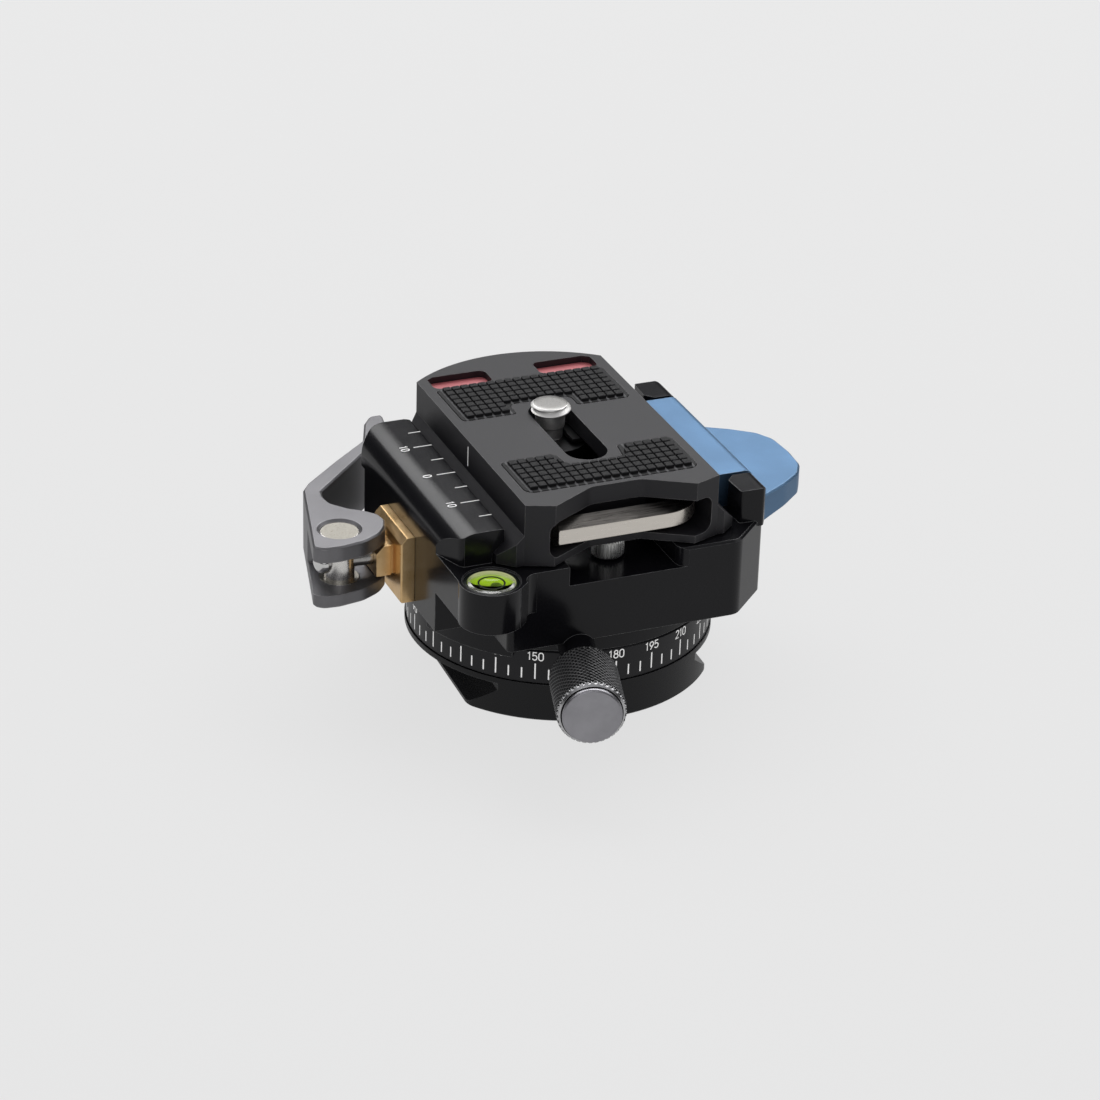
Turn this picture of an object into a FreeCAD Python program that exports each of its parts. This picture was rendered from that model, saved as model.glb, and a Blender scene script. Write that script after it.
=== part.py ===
import FreeCAD, Part
import os, math
from FreeCAD import Vector as V

os.makedirs("parts", exist_ok=True)

# ---------------------------------------------------------------------------
# Panning lever clamp with a camera plate.  Millimetres.
# Origin: pan axis at the underside of the base.  +Z up, -Y the front (level,
# lock knob), +X the rocking jaw, -X the lever.
# ---------------------------------------------------------------------------

# base foot
FOOT_R = 23.85
FOOT_H = 6.2
LIP_X = 19.5          # half width of the base dovetail
LIP_Z = 0.7
TIP_X = 16.0          # half width at the bottom of the groove
FLANGE_Z = 5.3
THREAD_R = 4.7625     # 3/8-16
BASE_A = -2.3         # degrees the base sits turned under the clamp
# scale ring
RING_R = 23.65
RING_TOP = 11.85
RING_GAP = 0.14
# panning hub
HUB_NECK_R = 12.0
HUB_DISC_R = 15.5
HUB_DISC_Z0, HUB_DISC_Z1 = 12.3, 16.2
CAV_R = 16.5
CAV_Z1 = 16.5
# clamp body
BX0, BX1 = -26.05, 25.35
BY = 25.2
BODY_Z0 = 15.1
BODY_Z1 = 27.7
DRUM_R = 23.6
DRUM_Z0 = 11.95
SKIRT_R = 24.85
SKIRT_Z0 = 10.85
CORNER_Z = 21.2       # underside of the level corner
LEVEL_X, LEVEL_Y = -21.4, -25.2
LEVEL_BOSS_R = 4.85
JAW_TOP = 33.0
JAW_IN = 17.4         # lip half opening
JAW_LY = 20.0
JAW_R = 1.3           # outer top rounding of the blue jaw and the posts
CH_X0, CH_X1, CH_Z, CH_Y = -9.0, 8.6, 24.65, 5.3   # stop-screw channels
# pan lock
LOCK_A = math.radians(-16.3)   # from -Y towards -X
LOCK_Z = 13.45
LOCK_R = 1.2
KNURL_R = 5.15
KN0, KN1 = 33.4, 45.3
CAP_R, CAP_OUT = 4.42, 0.75
# draw bar and lever
BAR_Z = 21.4
BAR_R = 1.5
PIV_X = -36.0
EAR_Z0, EAR_Z1 = 16.3, 26.5
SLOT_Z0, SLOT_Z1 = 18.45, 24.0
BLOCK_X = -28.3
# rocking jaw
PIN_X, PIN_Z, PIN_R = 21.6, 17.4, 1.25
RJ_X, RJ_Y = 25.45, 13.9
TAB_X, TAB_Z = 38.4, 27.8
# plate
PW, PB = 15.5, 19.0   # half widths, top and dovetail
PZS = 32.85           # shoulder of the dovetail flank
PZ0, PZ1 = 28.0, 37.9
PYF, PYR = -24.6, 27.85
SLOT_HW = 3.3
SLOT_Y0, SLOT_Y1 = -12.0, 8.8
SCREW_Y = 5.4
SCREW_R = 3.175
CAVZ0, CAVZ1 = 29.2, 35.0
KEY_Z = 31.65
KEY_AF = 4.0
STOP_Y = 18.0


def cyl(x, y, z0, z1, r):
    return Part.makeCylinder(r, z1 - z0, V(x, y, z0))


def box(x0, x1, y0, y1, z0, z1):
    return Part.makeBox(x1 - x0, y1 - y0, z1 - z0, V(x0, y0, z0))


def tube(x, y, z0, z1, r0, r1):
    return cyl(x, y, z0, z1, r1).cut(cyl(x, y, z0 - 1, z1 + 1, r0))


def poly(pts, z0, z1):
    w = Part.makePolygon([V(p[0], p[1], z0) for p in pts] + [V(pts[0][0], pts[0][1], z0)])
    return Part.Face(w).extrude(V(0, 0, z1 - z0))


def xz(pts, y0, y1):
    w = Part.makePolygon([V(p[0], y0, p[1]) for p in pts] + [V(pts[0][0], y0, pts[0][1])])
    return Part.Face(w).extrude(V(0, y1 - y0, 0))


def rounded(pts, z0, z1, r):
    """Plan polygon whose corners are tangent arcs; r is one radius or a list."""
    n = len(pts)
    rr = r if isinstance(r, (list, tuple)) else [r] * n
    edges, ends = [], []
    for i in range(n):
        a, b, c = V(*pts[i - 1], 0), V(*pts[i], 0), V(*pts[(i + 1) % n], 0)
        u, w = (a - b), (c - b)
        u.normalize(); w.normalize()
        ang = u.getAngle(w)
        ri = rr[i]
        if ri <= 0.001 or abs(math.pi - ang) < 1e-3:
            ends.append((b, b, None))
            continue
        t = ri / math.tan(ang / 2)
        p, q = b + u * t, b + w * t
        bis = (u + w); bis.normalize()
        m = b + bis * (ri / math.sin(ang / 2) - ri)
        ends.append((p, q, m))
    for i in range(n):
        p, q, m = ends[i]
        if m is not None:
            edges.append(Part.Arc(p, m, q).toShape())
        nxt = ends[(i + 1) % n][0]
        if (nxt - q).Length > 1e-6:
            edges.append(Part.LineSegment(q, nxt).toShape())
    w = Part.Wire(Part.__sortEdges__(edges))
    f = Part.Face(w)
    f.translate(V(0, 0, z0))
    return f.extrude(V(0, 0, z1 - z0))


def along(shape, a, z):
    """Take a shape built along +X from the Z axis to the radial lock axis."""
    s = shape.copy()
    ang = -90 + math.degrees(a)
    s.rotate(V(0, 0, 0), V(0, 0, 1), ang)
    s.translate(V(0, 0, z))
    return s


def xcyl(x0, x1, y, z, r):
    return Part.makeCylinder(r, x1 - x0, V(x0, y, z), V(1, 0, 0))


def ycyl(y0, y1, x, z, r):
    return Part.makeCylinder(r, y1 - y0, V(x, y0, z), V(0, 1, 0))


def cone(x, y, z0, z1, r0, r1):
    return Part.makeCone(r0, r1, z1 - z0, V(x, y, z0))


def hexprism(x, y, z0, z1, af, rot=0.0):
    r = af / math.sqrt(3)
    return poly([(x + r * math.cos(math.radians(60 * i + rot)),
                  y + r * math.sin(math.radians(60 * i + rot))) for i in range(6)], z0, z1)


def fillet_where(s, r, test):
    es = [e for e in s.Edges if test(e)]
    if not es:
        return s
    try:
        f = s.makeFillet(r, es)
        return f if f.isValid() and f.Volume > 0 else s
    except Exception:
        return s


def chamfer_where(s, r, test):
    es = [e for e in s.Edges if test(e)]
    if not es:
        return s
    try:
        f = s.makeChamfer(r, es)
        return f if f.isValid() and f.Volume > 0 else s
    except Exception:
        return s


def bb(e):
    return e.BoundBox


def save(name, shape):
    if shape.ShapeType == "Compound" and len(shape.Solids) == 1:
        shape = shape.Solids[0]
    s = shape.removeSplitter() if shape.ShapeType != "Compound" else shape
    if not s.isValid():
        s = shape
    print("%-24s solids %d valid %s vol %.1f" % (name, len(s.Solids), s.isValid(), s.Volume))
    s.exportStep("parts/%s.step" % name)


def group(solids):
    return Part.makeCompound(solids)


def turned(shape):
    s = shape.copy()
    s.rotate(V(0, 0, 0), V(0, 0, 1), BASE_A)
    return s


# ===========================================================================
# BASE
# ===========================================================================
prof = [(-LIP_X, 0), (LIP_X, 0), (LIP_X, LIP_Z), (TIP_X, LIP_Z + LIP_X - TIP_X), (TIP_X, FLANGE_Z),
        (-TIP_X, FLANGE_Z), (-TIP_X, LIP_Z + LIP_X - TIP_X), (-LIP_X, LIP_Z)]
foot = xz(prof, -25, 25)
blank = cyl(0, 0, 0, FLANGE_Z, FOOT_R).common(box(-LIP_X, LIP_X, -30, 30, 0, FLANGE_Z))
blank = fillet_where(blank, 3.0, lambda e: bb(e).ZLength > 4 and abs(abs(bb(e).XMin) - LIP_X) < 0.01)
blank = chamfer_where(blank, 0.2, lambda e: bb(e).ZMax < 0.01)
base = turned(foot.common(blank)).fuse(cyl(0, 0, FLANGE_Z, FOOT_H, FOOT_R))
# bush seat, screw holes
base = base.cut(cyl(0, 0, -1, 7, 6.5)).cut(cyl(0, 0, 4.2, 7, 8.0))
BS = [(9.8 * math.cos(math.radians(a)), 9.8 * math.sin(math.radians(a))) for a in (45, 135, 225, 315)]
for x, y in BS:
    base = base.cut(cyl(x, y, -1, 7, 1.65)).cut(cone(x, y, -0.001, 1.75, 3.2, 1.5))
# shallow relief ring in the underside
base = base.cut(tube(0, 0, -1, 0.5, 13.6, 15.4))
RS = [(17.6 * math.cos(math.radians(a)), 17.6 * math.sin(math.radians(a))) for a in (0, 90, 180, 270)]
for x, y in RS:
    base = base.cut(cyl(x, y, 4.0, 7, 0.8))
save("dovetail_base", base)

bush = cyl(0, 0, 0, 4.2, 6.5).fuse(cyl(0, 0, 4.2, FOOT_H, 8.0)).cut(cyl(0, 0, -1, 9, THREAD_R))
bush = chamfer_where(bush, 0.25, lambda e: bb(e).ZMax < 0.01 and bb(e).XMax > 6.0)
save("tripod_thread_bush", bush)

# scale ring: L section, clamped by four small screws
ring = tube(0, 0, FOOT_H, RING_TOP, 21.1, RING_R).fuse(tube(0, 0, FOOT_H, 8.2, HUB_NECK_R + 0.3, 21.5))
ring = ring.cut(tube(0, 0, FOOT_H - 0.1, FOOT_H + RING_GAP, RING_R - 0.5, RING_R + 1))
ring = chamfer_where(ring, 0.25, lambda e: bb(e).ZMin > RING_TOP - 0.01 and bb(e).XMax > 23.5)
for x, y in RS:
    ring = ring.cut(cyl(x, y, 6, 9, 1.05)).cut(cone(x, y, 7.2, 8.201, 1.05, 1.95))
save("scale_ring", ring)

rs = []
for x, y in RS:
    s = cyl(x, y, 4.1, 7.25, 0.8).fuse(cone(x, y, 7.25, 8.15, 0.9, 1.8))
    s = s.cut(hexprism(x, y, 7.6, 8.3, 1.3))
    rs.append(s)
save("ring_screws", group(rs))

hub = cyl(0, 0, FOOT_H, HUB_DISC_Z0, HUB_NECK_R).fuse(cyl(0, 0, HUB_DISC_Z0, HUB_DISC_Z1, HUB_DISC_R))
hub = hub.cut(cyl(0, 0, 6, 14.8, 5.2))
hub = hub.cut(tube(0, 0, 15.2, 17, 5.5, 7.4))
for x, y in BS:
    hub = hub.cut(cyl(x, y, 6, 12.5, 1.5))
save("panning_hub", hub)

bs = []
for x, y in BS:
    s = cyl(x, y, 1.6, 12.0, 1.5).fuse(cone(x, y, 0.2, 1.65, 2.9, 1.5))
    s = s.cut(hexprism(x, y, 0.1, 1.6, 2.0))
    bs.append(s)
save("base_screws", group(bs))

# ===========================================================================
# ROTATING CLAMP
# ===========================================================================
ret = tube(0, 0, 9.9, 11.9, HUB_NECK_R + 0.25, 20.8)
TS = [(18.7 * math.cos(math.radians(a)), 18.7 * math.sin(math.radians(a))) for a in (20, 110, 200, 290)]
for x, y in TS:
    ret = ret.cut(cyl(x, y, 9, 13, 0.85)).cut(cone(x, y, 9.899, 10.7, 1.65, 0.85))
save("retaining_ring", ret)
ts = []
for x, y in TS:
    s = cyl(x, y, 10.6, 14.6, 0.8).fuse(cone(x, y, 9.95, 10.7, 1.5, 0.8))
    s = s.cut(hexprism(x, y, 9.9, 10.4, 0.9))
    ts.append(s)
save("retaining_screws", group(ts))
save("lower_friction_washer", tube(0, 0, 11.9, 12.3, HUB_NECK_R + 0.3, 15.4))
save("upper_friction_washer", tube(0, 0, 16.2, 16.5, 8.0, 15.4))

# --- clamp body
outline = [(-17.0, -BY), (18.5, -BY), (BX1, -18.6), (BX1, 18.6), (18.5, BY), (-18.2, BY), (BX0, 17.2), (BX0, -BY)]
upper = rounded(outline, BODY_Z0, BODY_Z1, [0, 2.5, 2.5, 2.5, 2.5, 2.5, 2.5, 0])
# level boss and its blend into the front face
boss = cyl(LEVEL_X, LEVEL_Y, CORNER_Z, BODY_Z1, LEVEL_BOSS_R)
web = poly([(LEVEL_X, LEVEL_Y), (LEVEL_X + 3.2, LEVEL_Y - 3.7), (LEVEL_X + 7.2, -BY), (LEVEL_X + 7.2, -BY + 1), (LEVEL_X, -BY + 1)], BODY_Z0, BODY_Z1)
fc = (LEVEL_X + 7.05, -BY - 2.25)
web = web.cut(cyl(fc[0], fc[1], BODY_Z0 - 1, BODY_Z1 + 1, 2.25))
upper = upper.fuse(boss).fuse(web.cut(box(-30, -10, -40, 0, BODY_Z0 - 1, CORNER_Z)))
# relieved corner below the level
notch = poly([(-30, -35), (-18.5, -35), (-18.5, -14.5), (-30, -14.5)], BODY_Z0 - 1, CORNER_Z)
notch = notch.fuse(box(-18.6, -17.6, -26.0, -BY + 0.9, BODY_Z0 - 1, CORNER_Z).cut(cyl(-17.6, -BY + 0.9, BODY_Z0 - 2, CORNER_Z + 1, 0.9)))
notch = notch.cut(cyl(0, 0, BODY_Z0 - 2, CORNER_Z + 1, SKIRT_R))
upper = upper.cut(notch)
# drum, tongue under the lever side, skirt sector
drum = cyl(0, 0, DRUM_Z0, BODY_Z0 + 1, DRUM_R)
tongue = box(BX0, -18, -14.5, 14.5, 14.6, BODY_Z0 + 1)
a0, a1 = -166.0, -128.5
sec = [(0, 0)] + [(40 * math.cos(math.radians(a0 + (a1 - a0) * i / 8)), 40 * math.sin(math.radians(a0 + (a1 - a0) * i / 8))) for i in range(9)]
skirt = tube(0, 0, SKIRT_Z0, CORNER_Z, RING_R + 0.2, SKIRT_R).common(poly(sec, 0, 30))
skirt2 = tube(0, 0, DRUM_Z0, CORNER_Z, RING_R - 3, SKIRT_R).common(poly(sec, 0, 30))
body = upper.fuse(drum).fuse(tongue).fuse(skirt).fuse(skirt2)
# boss around the lock screw
lb = along(xcyl(20.0, 30.6, 0, 0, 2.8), LOCK_A, LOCK_Z)
lb = lb.cut(cyl(0, 0, 0, DRUM_Z0, RING_R + 0.3))
body = body.fuse(lb)
# left jaw, integral
jp = [(BX0, BODY_Z1 - 0.5), (BX0, JAW_TOP), (-JAW_IN, JAW_TOP), (-JAW_IN, 31.05), (-19.3, 29.15), (-19.3, BODY_Z1 - 0.5)]
jaw = xz(jp, -JAW_LY, JAW_LY)
jplan = rounded([(BX0, -14.5), (-24.0, -20.15), (-17.9, -20.5), (-16, -19.1), (-16, 18.4), (-18.3, JAW_LY), (-23.6, JAW_LY), (BX0, 18.2)], 20, 40, [0, 1.6, 1.0, 0, 0, 1.0, 2.2, 0.6])
jaw = fillet_where(jaw, 4.4, lambda e: bb(e).XMax < BX0 + 0.01 and bb(e).ZMin > JAW_TOP - 0.01)
jaw = fillet_where(jaw, 0.35, lambda e: bb(e).XMin > -JAW_IN - 0.01 and bb(e).ZMin > JAW_TOP - 0.01 and bb(e).YLength > 30)
jaw = jaw.common(jplan)
body = body.fuse(jaw)
# posts beside the rocking jaw
post = rounded([(20.4, -16.0), (21.7, -14.6), (BX1, -14.6), (BX1, -18.9), (24.5, -20.3), (20.6, -20.3)], BODY_Z1 - 1, JAW_TOP, [0.4, 0.4, 0, 0.8, 0.8, 0.45])
ptop = box(15, BX1, -30, 30, 20, JAW_TOP)
ptop = fillet_where(ptop, JAW_R, lambda e: bb(e).XMin > BX1 - 0.01 and bb(e).ZMin > JAW_TOP - 0.01)
post = post.common(ptop)
body = body.fuse(post).fuse(post.mirror(V(0, 0, 0), V(0, 1, 0)))
# pocket for the rocking jaw
body = body.cut(box(17.2, 30, -RJ_Y - 0.3, RJ_Y + 0.3, 14.6, 40))
body = body.cut(ycyl(-30, 30, PIN_X, PIN_Z, PIN_R + 0.02).common(box(0, 40, -20.0, 20.0, 0, 40)))
# stop-screw channels, front and rear
for sgn in (-1, 1):
    y0, y1 = sorted((sgn * CH_Y, sgn * 30))
    c = box(CH_X0, CH_X1, y0, y1, CH_Z, 30)
    c = fillet_where(c, 1.6, lambda e: bb(e).ZLength > 3 and abs(bb(e).YMin) < 6)
    body = body.cut(c)
# round blend at the right mouth of the front channel
body = body.cut(poly([(CH_X1 - 0.1, -BY - 1), (CH_X1 + 1.6, -BY - 1), (CH_X1 + 1.6, -BY), (CH_X1 - 0.1, -BY + 1.7)], CH_Z, 30).cut(cyl(CH_X1 + 1.7, -BY + 1.7, CH_Z - 1, 31, 1.7)))
# hub cavity, draw bar tunnel, lock screw bore, screw holes, level seat
body = body.cut(cyl(0, 0, 8, CAV_Z1, CAV_R))
body = body.cut(xcyl(-30, 20, 0, BAR_Z, BAR_R + 0.06))
body = body.cut(along(xcyl(14, 40, 0, 0, LOCK_R + 0.05), LOCK_A, LOCK_Z))
for x, y in TS:
    body = body.cut(cyl(x, y, 11, 14.8, 0.8))
body = body.cut(cyl(LEVEL_X, LEVEL_Y, 22.2, 30, 4.15))
body = body.cut(tube(LEVEL_X, LEVEL_Y, 27.45, 30, 4.1, 4.35))
# chamfer on the top rim corner edges of the front facets
body = chamfer_where(body, 0.35, lambda e: bb(e).ZLength < 0.01 and abs(bb(e).ZMin - BODY_Z1) < 0.01 and bb(e).YMax < -BY + 0.01 and bb(e).XLength > 3 and bb(e).XMin > 9)
save("clamp_body", body)

# --- lock knob, its cap, and the shoe
kn = xcyl(KN0, KN1, 0, 0, KNURL_R)
kn = fillet_where(kn, 1.1, lambda e: bb(e).XMax < KN0 + 0.01)
kn = chamfer_where(kn, 0.55, lambda e: bb(e).XMin > KN1 - 0.01)
kn = kn.fuse(xcyl(30.7, KN0 + 0.2, 0, 0, 2.6)).fuse(xcyl(18.1, 31.0, 0, 0, LOCK_R))
kn = kn.cut(xcyl(KN1 - 1.3, KN1 + 1, 0, 0, CAP_R + 0.1))
save("pan_lock_knob", along(kn, LOCK_A, LOCK_Z))
cap = xcyl(KN1 - 1.3, KN1 + CAP_OUT, 0, 0, CAP_R)
cap = fillet_where(cap, 0.4, lambda e: bb(e).XMin > KN1 + 0.2)
save("pan_knob_cap", along(cap, LOCK_A, LOCK_Z))
shoe = xcyl(HUB_DISC_R + 0.06, 18.1, 0, 0, LOCK_R)
save("pan_lock_shoe", along(shoe, LOCK_A, LOCK_Z))

# --- bubble level
vial = cyl(LEVEL_X, LEVEL_Y, 22.2, 27.5, 4.1)
vial = chamfer_where(vial, 0.2, lambda e: bb(e).ZMin > 27.4)
cavity = cyl(LEVEL_X, LEVEL_Y, 23.0, 26.7, 3.5)
save("level_vial", vial.cut(cavity))
bubble = Part.makeSphere(1.5, V(0, 0, 0))
m = FreeCAD.Matrix(); m.scale(V(1, 1, 0.45))
bubble = bubble.transformGeometry(m)
bubble.translate(V(LEVEL_X + 0.5, LEVEL_Y - 0.4, 26.0))
save("level_fluid", cavity.cut(bubble))

# --- brass cam block
blk = box(BLOCK_X, BX0 - 0.01, -5.9, 5.9, 15.4, 26.2)
blk = chamfer_where(blk, 1.0, lambda e: abs(bb(e).XMin - BLOCK_X) < 0.01 and bb(e).XLength < 0.01 and bb(e).ZMin > 26.1)
blk = chamfer_where(blk, 0.2, lambda e: bb(e).XMax < BLOCK_X + 0.01 and bb(e).ZMin < 25)
t1 = box(-28.8, BLOCK_X + 0.1, -2.3, 2.3, 18.8, 23.7)
t2 = xz([(-28.7, 18.8), (-31.05, 18.8), (-31.05, 22.6), (-29.9, 23.75), (-28.7, 23.75)], -2.75, 2.75)
blk = blk.fuse(t1).fuse(t2)
blk = blk.cut(xcyl(-40, -20, 0, BAR_Z, BAR_R + 0.1))
save("brass_cam_block", blk)

# --- draw bar, barrel pin, end nuts
bar = xcyl(-39.0, 25.0, 0, BAR_Z, BAR_R)
bar = chamfer_where(bar, 0.3, lambda e: bb(e).XMin > 24.9)
save("draw_bar", bar)
pin = cyl(PIV_X, 0, SLOT_Z0 + 0.05, SLOT_Z1 - 0.05, 2.3).fuse(cyl(PIV_X, 0, SLOT_Z1 - 0.05, EAR_Z1 - 0.4, 3.0)).fuse(cyl(PIV_X, 0, EAR_Z0 + 0.25, SLOT_Z0 + 0.05, 3.0))
pin = chamfer_where(pin, 0.15, lambda e: bb(e).ZMin > EAR_Z1 - 0.45)
pin = pin.cut(xcyl(-45, -30, 0, BAR_Z, BAR_R))
save("lever_barrel_pin", pin)
dome = xcyl(-40.0, -38.33, 0, BAR_Z, 1.85)
dome = fillet_where(dome, 1.5, lambda e: bb(e).XMax < -39.9)
dome = dome.cut(xcyl(-39.0, -38, 0, BAR_Z, BAR_R))
save("draw_bar_dome_nut", dome)
nut = xcyl(22.1, 24.1, 0, BAR_Z, 2.4).cut(xcyl(20, 26, 0, BAR_Z, BAR_R))
for a in (0, 90):
    g = box(23.5, 24.5, -0.35, 0.35, BAR_Z - 3, BAR_Z + 3)
    g.rotate(V(0, 0, BAR_Z), V(1, 0, 0), a)
    nut = nut.cut(g)
save("draw_bar_slotted_nut", nut)
spr = []
for i in range(3):
    x0 = 20.35 + 0.5 * i
    w = tube(0, 0, 0, 0.35, 1.65, 2.3)
    w.rotate(V(0, 0, 0), V(0, 1, 0), 90)
    w.translate(V(x0 + 0.2, 0, BAR_Z))
    spr.append(w)
save("jaw_disc_springs", group(spr))

# --- lever
# plan, from the front of the head round the cam, the inner corner, the arm,
# the flared finger tab and back along the outside
P = (PIV_X, 0.0)


def pol(r, a):
    return (P[0] + r * math.cos(math.radians(a)), P[1] + r * math.sin(math.radians(a)))


head = [(-41.65, -4.3), (-40.45, -5.48), (-37.8, -5.7), (-33.7, -5.0), (-30.8, -3.4), (-29.2, -1.4), (-28.42, 0.8),
        (-28.8, 2.9), (-30.3, 4.6), (-32.4, 6.2), (-34.4, 8.6), (-34.75, 11.0), (-34.4, 12.9), (-23.7, 23.5),
        (-19.4, 27.8), (-17.0, 31.4), (-16.25, 35.8), (-18.4, 35.7), (-20.05, 33.5), (-22.25, 27.9), (-28.9, 22.25),
        (-35.2, 16.5), (-36.9, 14.2)]
rad = [1.1, 2.2, 4, 5, 4, 3, 1.0, 1.6, 2.0, 4, 2.2, 1.6, 1.2, 6, 6, 3, 0.5, 0.7, 1.5, 2.0, 0, 1.5, 1.2]


def safe_rounded(pts, z0, z1, rads):
    n = len(pts)
    out = list(rads)
    for i in range(n):
        a, b, c = V(*pts[i - 1], 0), V(*pts[i], 0), V(*pts[(i + 1) % n], 0)
        u, w = a - b, c - b
        half = min(u.Length, w.Length) * 0.49
        un, wn = V(u), V(w)
        un.normalize(); wn.normalize()
        ang = un.getAngle(wn)
        out[i] = min(out[i], half * math.tan(ang / 2))
    return rounded(pts, z0, z1, out)


lever = safe_rounded(head, EAR_Z0, EAR_Z1, rad)
lever = chamfer_where(lever, 0.3, lambda e: bb(e).ZLength < 0.01)
# clevis slot through the head, open at the front, on the outside and toward the block
slot = poly([(-45, -12), (-20, -12), (-20, 7.9), (-31.0, 7.9), (-33.9, 5.3), (-36.5, 4.8), (-38.4, 5.5), (-40.6, 8.3), (-45, 8.3)], SLOT_Z0, SLOT_Z1)
lever = lever.cut(slot)
lever = lever.cut(cyl(PIV_X, 0, 10, 30, 3.05))
lever = lever.cut(cone(PIV_X, 0, EAR_Z1 - 0.4, EAR_Z1 + 0.001, 3.05, 3.45))
save("clamp_lever", lever)

# --- rocking jaw
sec = [(19.3, BODY_Z1 + 0.2), (19.3, 29.15), (JAW_IN, 31.05), (JAW_IN, JAW_TOP), (RJ_X, JAW_TOP), (RJ_X, 18.9), (24.6, PIN_Z), (19.1, PIN_Z), (18.9, 18.5), (18.9, BODY_Z1 + 0.2)]
rj = xz(sec, -RJ_Y, RJ_Y).fuse(ycyl(-RJ_Y, RJ_Y, PIN_X, PIN_Z, 2.5))
rj = fillet_where(rj, JAW_R, lambda e: bb(e).XMin > RJ_X - 0.01 and bb(e).ZMin > JAW_TOP - 0.01)
rj = fillet_where(rj, 0.3, lambda e: bb(e).XMax < JAW_IN + 0.01 and bb(e).ZMin > JAW_TOP - 0.01 and bb(e).YLength > 20)
tabp = safe_rounded([(24.5, -13.85), (27.0, -13.85), (33.0, -10.35), (36.4, -7.7), (38.05, -4.8), (TAB_X, 0), (38.05, 4.8), (36.4, 7.7), (33.0, 10.35), (27.0, 13.85), (24.5, 13.85)],
                    20, 30, [0, 1.5, 9, 3, 4, 0, 4, 3, 9, 1.5, 0])
tab = xz([(24.5, TAB_Z), (TAB_X, TAB_Z), (TAB_X, TAB_Z - 3.35), (35.5, TAB_Z - 3.5), (26.5, TAB_Z - 4.4), (24.5, TAB_Z - 4.4)], -14, 14).common(tabp)
tab = chamfer_where(tab, 0.3, lambda e: bb(e).ZMin > TAB_Z - 0.01 and (bb(e).XMax > 27.5))
rj = rj.fuse(tab)
rj = rj.cut(ycyl(-20, 20, PIN_X, PIN_Z, PIN_R + 0.03))
rj = rj.cut(box(20.4, 24.9, -3.0, 3.0, 18.8, 24.75)).cut(box(24.8, 27.4, -3.0, 3.0, 18.8, 24.1))
rj = rj.cut(box(18, 21, -1.75, 1.75, 18.9, 23.6))
save("rocking_jaw", rj)
rpin = ycyl(-19.9, 19.9, PIN_X, PIN_Z, PIN_R)
save("jaw_hinge_pin", rpin)

# ===========================================================================
# CAMERA PLATE
# ===========================================================================
pp = [(-PW, PZ1), (PW, PZ1), (PW, PZS), (PB, PZS - (PB - PW)), (PB, PZ0), (-PB, PZ0), (-PB, PZS - (PB - PW)), (-PW, PZS)]
plate = xz(pp, -30, 30)
# plan: chamfered front corners, rear arc
sag = PYR - 22.2
RA = (PW * PW + sag * sag) / (2 * sag)
cy = PYR - RA
front = [(-25, -23.0), (-PW, -23.0), (-11.3, PYF), (11.3, PYF), (PW, -23.0), (25, -23.0), (25, 40), (-25, 40)]
plan = poly(front, 20, 45)
rear_full = cyl(0, cy, 20, 45, RA)
rear_mask = box(-30, 30, -40, cy + 8, 20, 45)
plan = plan.common(rear_full.fuse(rear_mask))
plate = plate.common(plan)
# front corners of the dovetail cut back
for sgn in (-1, 1):
    plate = plate.cut(poly([(sgn * 15.55, -24.0), (sgn * 21, -24.0), (sgn * 21, -19.2)], 20, 33.2))
    plate = plate.cut(poly([(sgn * 15.35, 23.2), (sgn * 21, 17.5), (sgn * 21, 30), (sgn * 15.35, 30)], 20, 33.2))
# finger notch in the front flanges
nt = rounded([(-11.3, PYF - 0.01), (-10.0, PYF - 4), (10.0, PYF - 4), (11.3, PYF - 0.01), (4.0, -20.45), (-4.0, -20.45)], 20, 45, [0, 0, 0, 0, 2.5, 2.5])
plate = plate.cut(nt)
# key cavity: across the front and back along the right side, its mouth with
# rounded corners
CAVX0, CAVX1 = -12.0, 14.3
cav = rounded([(CAVX0, -30), (CAVX1, -30), (CAVX1, -1.0), (9.4, -1.0), (9.4, -14.8), (5.6, -18.8), (CAVX0, -18.8)], CAVZ0, CAVZ1, [0, 0, 0.8, 0.8, 0.8, 0.8, 0.8])
mouth = box(CAVX0, CAVX1, -30, -16, CAVZ0, CAVZ1)
mouth = fillet_where(mouth, 1.6, lambda e: bb(e).YLength > 13)
cav = cav.common(mouth.fuse(box(-20, 20, -16.001, 5, CAVZ0, CAVZ1)))
plate = plate.cut(cav)
# camera screw slot and head channel
slot = rounded([(-SLOT_HW, SLOT_Y0), (SLOT_HW, SLOT_Y0), (SLOT_HW, SLOT_Y1), (-SLOT_HW, SLOT_Y1)], 20, 45, SLOT_HW - 0.001)
plate = plate.cut(slot)
hc = rounded([(-6.6, -15.5), (6.6, -15.5), (6.6, 12.3), (-6.6, 12.3)], 20, 35.2, 6.5)
plate = plate.cut(hc)
plate = plate.cut(box(-7.2, 7.2, -14.6, 11.4, 34.2, 35.05))
# pads and windows
def rear_pad_shape(z0, z1, g=0.0):
    return rounded([(-13.9 - g, 6.4 - g), (-5.0 + g, 6.4 - g), (-5.0 + g, 9.9 - g), (5.0 - g, 9.9 - g), (5.0 - g, 6.4 - g), (13.9 + g, 6.4 - g), (13.9 + g, 18.3 + g), (-13.9 - g, 18.3 + g)], z0, z1, [1.0, 0.5, 1.2, 1.2, 0.5, 1.0, 1.0, 1.0])


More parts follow.
